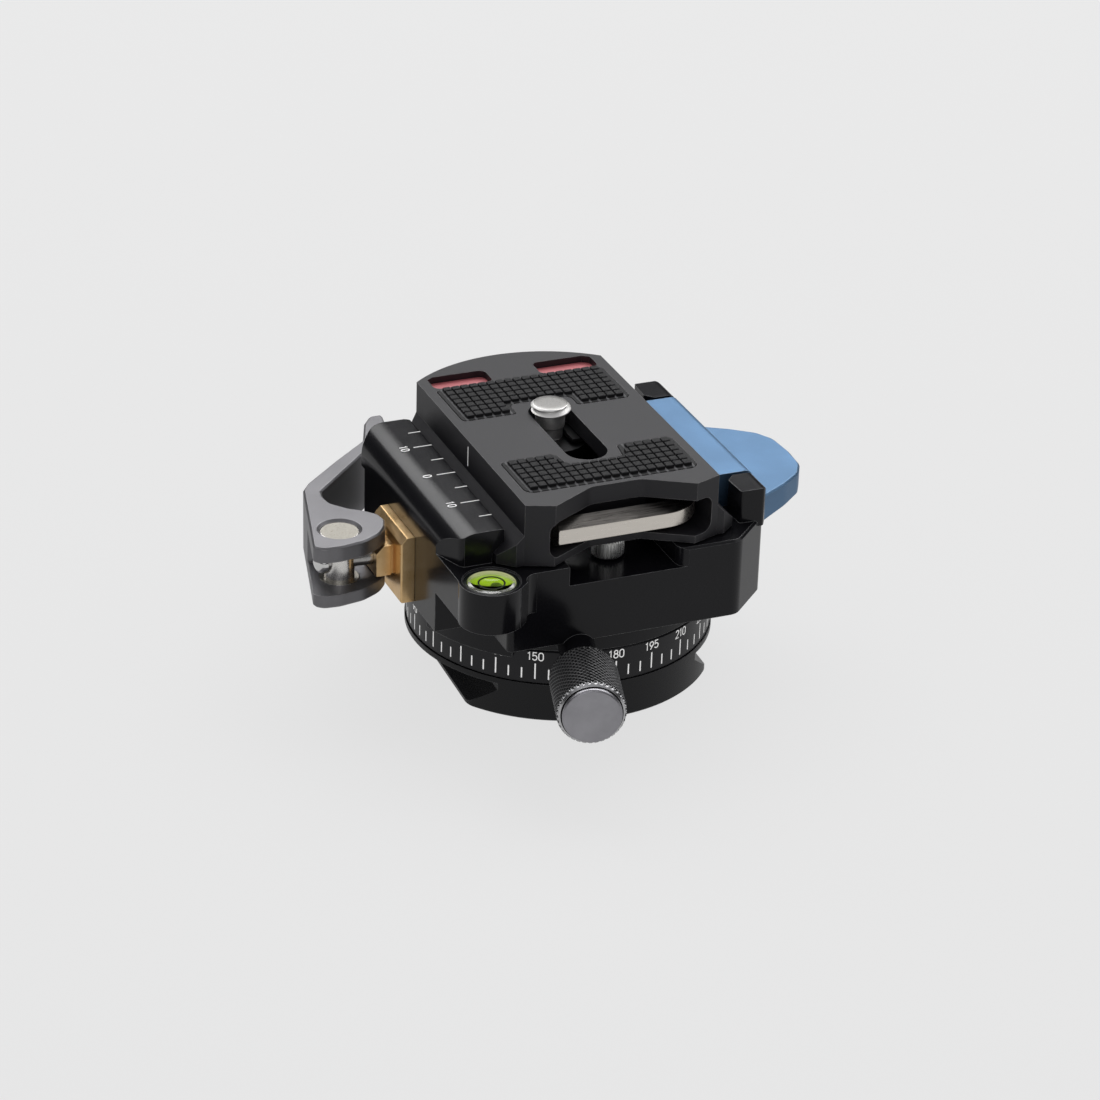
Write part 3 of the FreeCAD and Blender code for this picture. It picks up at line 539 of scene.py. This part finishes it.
def thread(a, r, th):
    if a < TH0 - 0.4 or r < 2.0:
        return r
    t = tri(a / P - th / (2 * math.pi))
    t = min(1.0, max(0.0, (t - 0.08) / 0.8))
    fade = min(1.0, max(0.0, (a - (TH0 - 0.35)) / 0.5))
    return max(2.3, min(r, SR - 0.62 * (1 - t) * fade))


prof = [(33.6, 0.0), (33.6, NR), (35.6, NR), (35.9, 2.3), (TH0 - 0.45, 2.3)]
for i in range(5):
    t = i / 4
    prof.append((TH0 - 0.45 + 0.45 * t, 2.3 + (SR - 0.15 - 2.3) * t))
z = TH0
while z < ST - 0.5:
    prof.append((z, SR))
    z += 0.06
for i in range(7):
    t = i / 6
    prof.append((ST - 0.5 + 0.42 * t, SR - 0.5 * t))
prof += [(ST - 0.02, SR - 0.58), (ST, SR - 0.72), (ST, 1.6), (ST, 0.0)]
b.lathe(prof, 120, fn=zaxis(0, SY), rfun=thread)
make("camera_screw_threaded", b.v, b.f, [m_screw, m_clip], "camera_screw", ["camera_screw"], b.m, angle=30)

# ---------------------------------------------------------------------------
# stop screws: straight knurl, hex socket underneath
# ---------------------------------------------------------------------------


def hexring(af, z, n=6, rot=0.0):
    r = af / math.sqrt(3)
    return [(r * math.cos(math.radians(60 * i + rot)), r * math.sin(math.radians(60 * i + rot)), z) for i in range(6)]


def stop_screw(name, y, top):
    b = Build()
    n = 32 * 9

    def kn(a, r, th):
        if r < 2.2:
            return r
        h = min(1.0, 1.5 * tri(th * 32 / (2 * math.pi)))
        return min(r, 2.55 - 0.3 * (1 - h))

    prof = [(25.0, 2.15), (25.15, 2.3), (25.4, 2.55)]
    for i in range(1, 9):
        prof.append((25.4 + (27.7 - 25.4) * i / 8, 2.55))
    prof += [(27.98, 2.3), (27.98, 1.25), (top, 1.25), (top, 0.0)]
    b.lathe(prof, n, fn=zaxis(0, y), rfun=kn)
    # underside with the hex socket
    ring = [((2.15 * math.cos(2 * math.pi * j / n)), (2.15 * math.sin(2 * math.pi * j / n)), 25.0) for j in range(n)]
    hx = hexring(2.0, 25.0)
    hb = hexring(2.0, 26.5)
    verts = ring + hx + hb
    faces = []
    per = n // 6
    for s in range(6):
        a0 = n + s
        a1 = n + (s + 1) % 6
        for j in range(per):
            j0 = (s * per + j) % n
            j1 = (s * per + j + 1) % n
            faces.append((j0, j1, a0 if j < per // 2 else a1))
        jm = (s * per + per // 2) % n
        faces.append((jm, a1, a0))
        faces.append((a0, a1, n + 6 + (s + 1) % 6, n + 6 + s))
    faces.append(tuple(n + 6 + i for i in range(6)))
    b.add(verts, faces, 0, zaxis(0, y))
    body = make(name + "_knurled", b.v, b.f, [m_knurled], "plate", [name], b.m, angle=25)
    return body


stop_screw("stop_screw_front", -18.0, 29.1)
stop_screw("stop_screw_rear", 18.0, 32.8)

# ---------------------------------------------------------------------------
# rubber pads: slab with a grid of moulded blocks
# ---------------------------------------------------------------------------


def arc_corner(a, b_, c, r, n=6):
    a, b_, c = Vector(a), Vector(b_), Vector(c)
    u, w = (a - b_), (c - b_)
    lu, lw = u.length, w.length
    u.normalize(); w.normalize()
    ang = u.angle(w)
    if r < 1e-3 or abs(math.pi - ang) < 1e-3:
        return [tuple(b_)]
    t = min(r / math.tan(ang / 2), lu * 0.49, lw * 0.49)
    r = t * math.tan(ang / 2)
    m = b_ + (u + w).normalized() * (r / math.sin(ang / 2))
    p, q = b_ + u * t - m, b_ + w * t - m
    th = p.angle_signed(q)
    out = []
    for i in range(n + 1):
        k = -th * i / n
        out.append((m.x + p.x * math.cos(k) - p.y * math.sin(k), m.y + p.x * math.sin(k) + p.y * math.cos(k)))
    return out


def outline(pts, rads, n=6):
    out = []
    for i in range(len(pts)):
        out += arc_corner(pts[i - 1], pts[i], pts[(i + 1) % len(pts)], rads[i], n)
    return out


def area(p):
    return 0.5 * sum(p[i][0] * p[(i + 1) % len(p)][1] - p[(i + 1) % len(p)][0] * p[i][1] for i in range(len(p)))


def inset(pts, d):
    """Simple mitred inset of a counter-clockwise outline."""
    n = len(pts)
    out = []
    for i in range(n):
        a, b_, c = Vector(pts[i - 1]), Vector(pts[i]), Vector(pts[(i + 1) % n])
        u = (b_ - a)
        w = (c - b_)
        if u.length < 1e-6 or w.length < 1e-6:
            continue
        u.normalize(); w.normalize()
        n1, n2 = Vector((-u.y, u.x)), Vector((-w.y, w.x))
        m = n1 + n2
        if m.length < 1e-6:
            continue
        m = m / m.length_squared * 2
        if m.length > 2.5:
            m = m.normalized() * 2.5
        out.append((b_.x + m.x * d, b_.y + m.y * d))
    return out


def clip(poly, x0, x1, y0, y1):
    def cut(p, inside, inter):
        out = []
        for i in range(len(p)):
            a, b_ = p[i - 1], p[i]
            ia, ib = inside(a), inside(b_)
            if ib:
                if not ia:
                    out.append(inter(a, b_))
                out.append(b_)
            elif ia:
                out.append(inter(a, b_))
        return out

    def ix(v):
        return lambda a, c: (v, a[1] + (c[1] - a[1]) * (v - a[0]) / (c[0] - a[0]))

    def iy(v):
        return lambda a, c: (a[0] + (c[0] - a[0]) * (v - a[1]) / (c[1] - a[1]), v)

    for ins, it in ((lambda q: q[0] >= x0, ix(x0)), (lambda q: q[0] <= x1, ix(x1)), (lambda q: q[1] >= y0, iy(y0)), (lambda q: q[1] <= y1, iy(y1))):
        poly = cut(poly, ins, it)
        if len(poly) < 3:
            return []
    out = []
    for q in poly:
        if not out or (abs(q[0] - out[-1][0]) + abs(q[1] - out[-1][1])) > 0.02:
            out.append(q)
    if len(out) > 2 and abs(out[0][0] - out[-1][0]) + abs(out[0][1] - out[-1][1]) < 0.02:
        out.pop()
    return out


PZ1, PAD_Z = 37.9, 37.2
SLAB, TOP = 38.0, 38.6
PXP, PYP, GX, GY = 1.45, 1.6, 0.20, 0.34


def pad(name, pts, rads, yoff):
    o = outline(pts, rads)
    if area(o) < 0:
        o.reverse()
    b = Build()
    n = len(o)
    inner = inset(o, 0.16)
    if len(inner) != n:
        inner = o
    verts = [(x, y, PAD_Z) for x, y in o] + [(x, y, SLAB - 0.14) for x, y in o] + [(x, y, SLAB) for x, y in inner]
    faces = [tuple(range(n - 1, -1, -1)), tuple(range(2 * n, 3 * n))]
    for L in range(2):
        faces += [(L * n + k, L * n + (k + 1) % n, (L + 1) * n + (k + 1) % n, (L + 1) * n + k) for k in range(n)]
    b.add(verts, faces, 0, mm)
    rim = inset(o, 0.55)
    xs = [p[0] for p in o]
    ys = [p[1] for p in o]
    nx = int((max(xs) - min(xs)) / PXP) + 2
    ny = int((max(ys) - min(ys)) / PYP) + 2
    cx = (max(xs) + min(xs)) / 2
    for i in range(-nx, nx + 1):
        x0 = cx + i * PXP + GX / 2
        x1 = cx + (i + 1) * PXP - GX / 2
        for j in range(-1, ny + 1):
            y0 = yoff + j * PYP + GY / 2
            y1 = yoff + (j + 1) * PYP - GY / 2
            q = clip(rim, x0, x1, y0, y1)
            if len(q) < 3 or abs(area(q)) < 0.45:
                continue
            if area(q) < 0:
                q.reverse()
            cxq = sum(p[0] for p in q) / len(q)
            cyq = sum(p[1] for p in q) / len(q)

            def sc(d):
                out = []
                for p in q:
                    dx, dy = p[0] - cxq, p[1] - cyq
                    l = math.hypot(dx, dy)
                    k = max(0.3, (l - d) / l)
                    out.append((cxq + dx * k, cyq + dy * k))
                return out

            q1, q2, q3 = sc(0.05), sc(0.16), sc(0.42)
            m = len(q)
            verts = [(x, y, SLAB - 0.05) for x, y in q] + [(x, y, TOP - 0.17) for x, y in q1] + [(x, y, TOP - 0.05) for x, y in q2] + [(x, y, TOP) for x, y in q3]
            faces = [tuple(range(m - 1, -1, -1)), tuple(range(3 * m, 4 * m))]
            for L in range(3):
                faces += [(L * m + k, L * m + (k + 1) % m, (L + 1) * m + (k + 1) % m, (L + 1) * m + k) for k in range(m)]
            b.add(verts, faces, 0, mm)
    make(name + "_blocks", b.v, b.f, [m_rubber], "plate", [name], b.m, angle=38)


pad("rear_rubber_pad",
    [(-13.9, 6.4), (-5.0, 6.4), (-5.0, 9.9), (5.0, 9.9), (5.0, 6.4), (13.9, 6.4), (13.9, 18.3), (-13.9, 18.3)],
    [1.0, 0.5, 1.2, 1.2, 0.5, 1.0, 1.0, 1.0], 6.9)
pad("front_rubber_pad",
    [(-13.9, -19.6), (13.9, -19.6), (13.9, -8.6), (5.0, -8.6), (4.4, -12.9), (-4.4, -12.9), (-5.0, -8.6), (-13.9, -8.6)],
    [1.6, 1.6, 1.0, 0.8, 1.0, 1.0, 0.8, 1.0], -18.9)

# ---------------------------------------------------------------------------
# painted marks: stroke figures laid on a plane or wrapped on the ring
# ---------------------------------------------------------------------------


def arc(cx, cy, rx, ry, a0, a1, n=14):
    return [(cx + rx * math.cos(math.radians(a0 + (a1 - a0) * i / n)), cy + ry * math.sin(math.radians(a0 + (a1 - a0) * i / n))) for i in range(n + 1)]


# each figure in a box 0.56 wide and 1 high
FIG = {
    "0": [arc(0.28, 0.72, 0.26, 0.28, 0, 180, 10) + arc(0.28, 0.28, 0.26, 0.28, 180, 360, 10) + [(0.54, 0.72)]],
    "1": [[(0.10, 0.80), (0.30, 1.0), (0.30, 0.0)]],
    "2": [arc(0.28, 0.73, 0.25, 0.27, 165, -35, 12) + [(0.02, 0.0), (0.55, 0.0)]],
    "3": [arc(0.27, 0.75, 0.23, 0.25, 160, -90, 12) + arc(0.27, 0.26, 0.26, 0.26, 90, -160, 12)[1:]],
    "4": [[(0.42, 0.0), (0.42, 1.0), (0.0, 0.30), (0.56, 0.30)]],
    "5": [[(0.50, 1.0), (0.08, 1.0), (0.05, 0.56)] + arc(0.26, 0.33, 0.27, 0.31, 115, -155, 14)],
    "6": [[(0.44, 1.0), (0.10, 0.50)] + arc(0.28, 0.30, 0.26, 0.29, 150, -210, 18)],
    "7": [[(0.02, 1.0), (0.54, 1.0), (0.18, 0.0)]],
    "8": [arc(0.28, 0.76, 0.21, 0.23, -90, 270, 18), arc(0.28, 0.27, 0.26, 0.27, 90, 450, 18)],
    "9": [[(0.12, 0.0), (0.46, 0.50)] + arc(0.28, 0.70, 0.26, 0.29, -30, 330, 18)],
}


def ribbon(b, line, w, fn, thick, closed=False):
    """A flat stroke along line, with its own thickness, mapped by fn(x, y, h)."""
    pts = [Vector(p) for p in line]
    clean = [pts[0]]
    for p in pts[1:]:
        if (p - clean[-1]).length > 1e-4:
            clean.append(p)
    pts = clean
    n = len(pts)
    L, R = [], []
    for i in range(n):
        if i == 0:
            d = pts[1] - pts[0]
            nn = Vector((-d.y, d.x)).normalized()
            k = 1.0
        elif i == n - 1:
            d = pts[-1] - pts[-2]
            nn = Vector((-d.y, d.x)).normalized()
            k = 1.0
        else:
            d1 = (pts[i] - pts[i - 1]).normalized()
            d2 = (pts[i + 1] - pts[i]).normalized()
            n1, n2 = Vector((-d1.y, d1.x)), Vector((-d2.y, d2.x))
            nn = (n1 + n2)
            if nn.length < 1e-4:
                nn = n1
            nn.normalize()
            k = min(1.6, 1.0 / max(0.3, nn.dot(n1)))
        L.append(pts[i] + nn * w / 2 * k)
        R.append(pts[i] - nn * w / 2 * k)
    verts, faces = [], []
    for i in range(n):
        for q, h in ((L[i], 0), (R[i], 0), (R[i], thick), (L[i], thick)):
            verts.append(fn(q.x, q.y, h))
    for i in range(n - 1):
        a, c = 4 * i, 4 * (i + 1)
        for j in range(4):
            faces.append((a + j, a + (j + 1) % 4, c + (j + 1) % 4, c + j))
    faces.append((3, 2, 1, 0))
    e = 4 * (n - 1)
    faces.append((e, e + 1, e + 2, e + 3))
    b.add(verts, faces, 0)


def figures(b, text, height, w, fn, thick, cx, cy, gap=0.26):
    adv = {"1": 0.42}
    tot = sum(adv.get(c, 0.56) for c in text) + gap * (len(text) - 1)
    x = -tot / 2
    for c in text:
        for line in FIG[c]:
            dx = x - (0.06 if c == "1" else 0)
            ribbon(b, [((p[0] + dx) * height + cx, (p[1] - 0.5) * height + cy) for p in line], w, fn, thick)
        x += adv.get(c, 0.56) + gap


RING_R = 23.65


def on_ring(x, y, h):
    a = x / RING_R
    r = RING_R - 0.03 + h
    return (r * math.cos(a) * MM, r * math.sin(a) * MM, y * MM)


b = Build()
for i in range(72):
    val = i * 5
    ang = math.radians(-90.7 + (val - 180))
    x = ang * RING_R
    long = val % 15 == 0
    z1 = 9.63 if long else 8.73
    ribbon(b, [(x, 7.0), (x, (7.0 + z1) / 2), (x, z1)], 0.22, on_ring, 0.045)
    if long:
        figures(b, str(val), 1.3, 0.165, on_ring, 0.045, x, 10.83, gap=0.16)
make("pan_scale_marks", b.v, b.f, [m_white], "base", (), b.m, smooth=False)

b = Build()


def on_jaw(x, y, h):
    return (x * MM, y * MM, (33.0 - 0.03 + h) * MM)


def on_jaw_text(cx, cy):
    # text right is -Y, text up is +X
    return lambda x, y, h: ((cx + y) * MM, (cy - x) * MM, (33.0 - 0.03 + h) * MM)


for k in range(-3, 4):
    y = 5.0 * k
    long = k in (-2, 0, 2)
    x0 = -20.5 if long else -19.5
    ribbon(b, [(x0, y), ((x0 - 17.55) / 2, y), (-17.55, y)], 0.17, on_jaw, 0.045)
    if long:
        figures(b, "0" if k == 0 else "10", 1.25, 0.17, on_jaw_text(-22.0, y), 0.045, 0.0, 0.0, gap=0.3)
make("jaw_ruler_marks", b.v, b.f, [m_white], "clamp", (), b.m, smooth=False)

b = Build()


def on_side(x, y, h):
    return ((-15.5 + 0.03 - h) * MM, x * MM, y * MM)


ribbon(b, [(0.0, 33.7), (0.0, 35.3), (0.0, 36.9)], 0.2, on_side, 0.045)
make("plate_index_line", b.v, b.f, [m_white], "plate", (), b.m, smooth=False)

# ---------------------------------------------------------------------------
# bubble level: cup, liquid dish, reticle ring, bubble and window
# ---------------------------------------------------------------------------
LX, LY = -21.4, -25.2

k = Mat("green_fluid", (0.50, 0.72, 0.02), rough=0.22, ior=1.38)
v = k.n("ShaderNodeSeparateXYZ")
k.ln(k.co(), v.inputs[0])
# far side of the dish is painted paler, a painted reflection of the back light on the cup wall; the near side of the
# wall is painted dark, a painted shade
side = k.math("ADD", v.outputs[1], k.math("MULTIPLY", v.outputs[0], 0.55))
far = k.ramp(side, (LY + 0.55 * LX - 0.6) * MM, (LY + 0.55 * LX + 2.6) * MM, 0.0, 1.0)
hgt = k.ramp(v.outputs[2], 0.02646, 0.0268, 0.0, 1.0)
c1 = k.mix(k.ramp(k.noise(420, 2, 0.5), 0.35, 0.65, 0, 1), (0.50, 0.68, 0.02), (0.68, 0.82, 0.04))
wall = k.mix(far, (0.05, 0.10, 0.008), (0.80, 0.82, 0.42))
k.color(k.mix(hgt, c1, wall))
# the floor and far wall of the liquid also glow through emission: painted light
k.ln(k.mix(hgt, (0.27, 0.48, 0.015), k.mix(far, (0.0, 0.0, 0.0), (0.20, 0.21, 0.12))), k.b.inputs["Emission Color"])
k.b.inputs["Emission Strength"].default_value = 0.75
k.bump(k.noise(900, 2, 0.5), 0.1, 0.0001)
m_fluid = k.done()

k = Mat("clear_acrylic", (1, 1, 1), rough=0.03, ior=1.49)
k.b.inputs["Transmission Weight"].default_value = 1.0
g = k.noise(700, 2, 0.5)
k.bump(g, 0.03, 0.00002)
m_glass = k.done()
m_cup = plastic("level_cup_black", (0.006, 0.010, 0.007), 0.32, spec=0.3)
m_retic = plastic("reticle_black", (0.004, 0.008, 0.004), 0.4)
m_bubble = plastic("bubble_rim", (0.30, 0.50, 0.06), 0.08, bump=0.02)

b = Build()
# outer cup with a rounded rim, and an inner wall painted pale on its far side as a painted reflection
cup = [(22.25, 0.0, 0), (22.25, 4.08, 0), (27.3, 4.08, 0), (27.42, 4.03, 0), (27.5, 3.92, 0), (27.5, 3.72, 0), (27.42, 3.62, 0)]
b.lathe(cup, 96, fn=zaxis(LX, LY))
# dish of liquid: curved wall down to a flat floor
dish = [(27.42, 3.62, 1), (27.15, 3.58, 1), (26.85, 3.42, 1), (26.6, 3.12, 1), (26.45, 2.7, 1), (26.4, 2.1, 1), (26.4, 1.0, 1), (26.4, 0.0, 1)]
b.lathe(dish, 96, fn=zaxis(LX, LY))
make("level_cup_and_fluid", b.v, b.f, [m_cup, m_fluid], "clamp", ["level_vial", "level_fluid"], b.m, angle=60)

b = Build()
ring = [(27.30, 1.78), (27.34, 1.80), (27.34, 2.04), (27.30, 2.06), (27.26, 2.04), (27.26, 1.80)]
b.lathe(ring, 96, fn=zaxis(LX, LY), closed=True)
make("level_reticle_ring", b.v, b.f, [m_retic], "clamp", (), b.m)

b = Build()
bub = []
for i in range(17):
    t = math.pi * i / 16
    bub.append((26.78 + 0.26 * -math.cos(t), 0.85 * math.sin(t)))
b.lathe(bub, 48, fn=zaxis(LX + 0.62, LY - 0.25))
make("level_bubble", b.v, b.f, [m_bubble], "clamp", (), b.m)

b = Build()
win = [(27.08, 0.0), (27.08, 3.42), (27.16, 3.5), (27.21, 3.38), (27.23, 2.4), (27.24, 1.2), (27.24, 0.0)]
b.lathe(win, 96, fn=zaxis(LX, LY))
make("level_window", b.v, b.f, [m_glass], "clamp", (), b.m, angle=50)

# ---------------------------------------------------------------------------
# floor, lights, camera
# ---------------------------------------------------------------------------


def grey(v):
    return (v, v, v)


def plane(name, size, z, mat, hole=0.0):
    me = bpy.data.meshes.new(name)
    s = size / 2
    me.from_pydata([(-s, -s, z), (s, -s, z), (s, s, z), (-s, s, z)], [], [(0, 1, 2, 3)])
    me.materials.append(mat)
    o = bpy.data.objects.new(name, me)
    bpy.context.scene.collection.objects.link(o)
    return o


k = Mat("floor_pale", (0.1, 0.1, 0.1), rough=0.9, spec=0.0)
c = k.mix(k.noise(40, 2, 0.5), (0.098, 0.098, 0.099), (0.102, 0.102, 0.102))
k.color(c)
k.b.inputs["Emission Color"].default_value = (1, 1, 1, 1)
seen = k.n("ShaderNodeLightPath").outputs["Is Camera Ray"]
k.ln(k.ramp(seen, 0.0, 1.0, 0.45, 0.71), k.b.inputs["Emission Strength"])
m_floor = k.done()
floor = plane("floor", 1.3, -0.00002, m_floor)
far_floor = plane("far_floor", 14.0, -0.0006, m_floor)
far_floor.visible_glossy = False
far_floor.visible_diffuse = False

w = bpy.data.worlds.new("studio")
bpy.context.scene.world = w
w.use_nodes = True
nt = w.node_tree
nt.nodes.clear()
out = nt.nodes.new("ShaderNodeOutputWorld")
bg_cam = nt.nodes.new("ShaderNodeBackground")
bg_cam.inputs[0].default_value = (0.79, 0.79, 0.79, 1)
bg = nt.nodes.new("ShaderNodeBackground")
tc = nt.nodes.new("ShaderNodeTexCoord")
sp = nt.nodes.new("ShaderNodeSeparateXYZ")
cr = nt.nodes.new("ShaderNodeValToRGB")
nt.links.new(tc.outputs["Generated"], sp.inputs[0])
nt.links.new(sp.outputs[2], cr.inputs[0])
e = cr.color_ramp.elements
e[0].position, e[0].color = 0.0, (0.04, 0.04, 0.042, 1)
e[1].position, e[1].color = 1.0, (0.38, 0.38, 0.39, 1)
x1 = e.new(0.30); x1.color = (0.04, 0.04, 0.042, 1)
x2 = e.new(0.60); x2.color = (0.30, 0.30, 0.31, 1)
nt.links.new(cr.outputs[0], bg.inputs[0])
lp = nt.nodes.new("ShaderNodeLightPath")
mx = nt.nodes.new("ShaderNodeMixShader")
nt.links.new(lp.outputs["Is Camera Ray"], mx.inputs[0])
nt.links.new(bg.outputs[0], mx.inputs[1])
nt.links.new(bg_cam.outputs[0], mx.inputs[2])
nt.links.new(mx.outputs[0], out.inputs[0])


def softbox(name, az, el, dist, sx, sy, radiance, spread=math.pi):
    """Area light seen from the origin at azimuth az (0 is +Y, 90 is +X) and elevation el, in degrees."""
    a, e_ = math.radians(az), math.radians(el)
    d = Vector((math.sin(a) * math.cos(e_), math.cos(a) * math.cos(e_), math.sin(e_)))
    L = bpy.data.lights.new(name, "AREA")
    L.shape = "RECTANGLE"
    L.size, L.size_y = sx, sy
    L.energy = radiance * math.pi * sx * sy
    L.spread = spread
    o = bpy.data.objects.new(name, L)
    bpy.context.scene.collection.objects.link(o)
    o.location = d * dist + Vector((0, 0, 0.02))
    o.rotation_mode = "QUATERNION"
    o.rotation_quaternion = d.to_track_quat("Z", "Y")
    o.visible_camera = False
    return o


softbox("back_soft", 24, 49, 1.2, 1.9, 0.74, 3.3)
softbox("low_front", 205, 11, 1.2, 0.7, 0.3, 1.3)
softbox("left_soft", -62, 48, 1.1, 0.7, 0.6, 0.5)
softbox("front_soft", 205, 42, 1.2, 0.9, 0.5, 0.5)
softbox("right_soft", 105, 38, 1.2, 0.7, 0.6, 0.7)

a, el, roll, f = math.radians(21.99), math.radians(28.30), math.radians(1.278), 3780.15
cam_loc = Vector((-204.44, -476.79, 283.85)) * MM
d = Vector((math.sin(a) * math.cos(el), math.cos(a) * math.cos(el), -math.sin(el)))
r = Vector((math.cos(a), -math.sin(a), 0))
u = r.cross(d)
c_, s_ = math.cos(roll), math.sin(roll)
r2 = r * c_ + u * s_
u2 = u * c_ - r * s_
cam = bpy.data.cameras.new("camera")
cam.sensor_width = 36.0
cam.sensor_fit = "HORIZONTAL"
cam.lens = 36.0 * f / 1100.0
cam.shift_x = (550.0 - 486.5) / 1100.0
cam.shift_y = (618.1 - 550.0) / 1100.0
cam.clip_start, cam.clip_end = 0.02, 30
co = bpy.data.objects.new("camera", cam)
bpy.context.scene.collection.objects.link(co)
M = Matrix((r2, u2, -d)).transposed().to_4x4()
M.translation = cam_loc
co.matrix_world = M
bpy.context.scene.camera = co

vs_ = bpy.context.scene.view_settings
vs_.view_transform = "Standard"
vs_.look = "None"
vs_.exposure = 0.0
vs_.gamma = 1.0
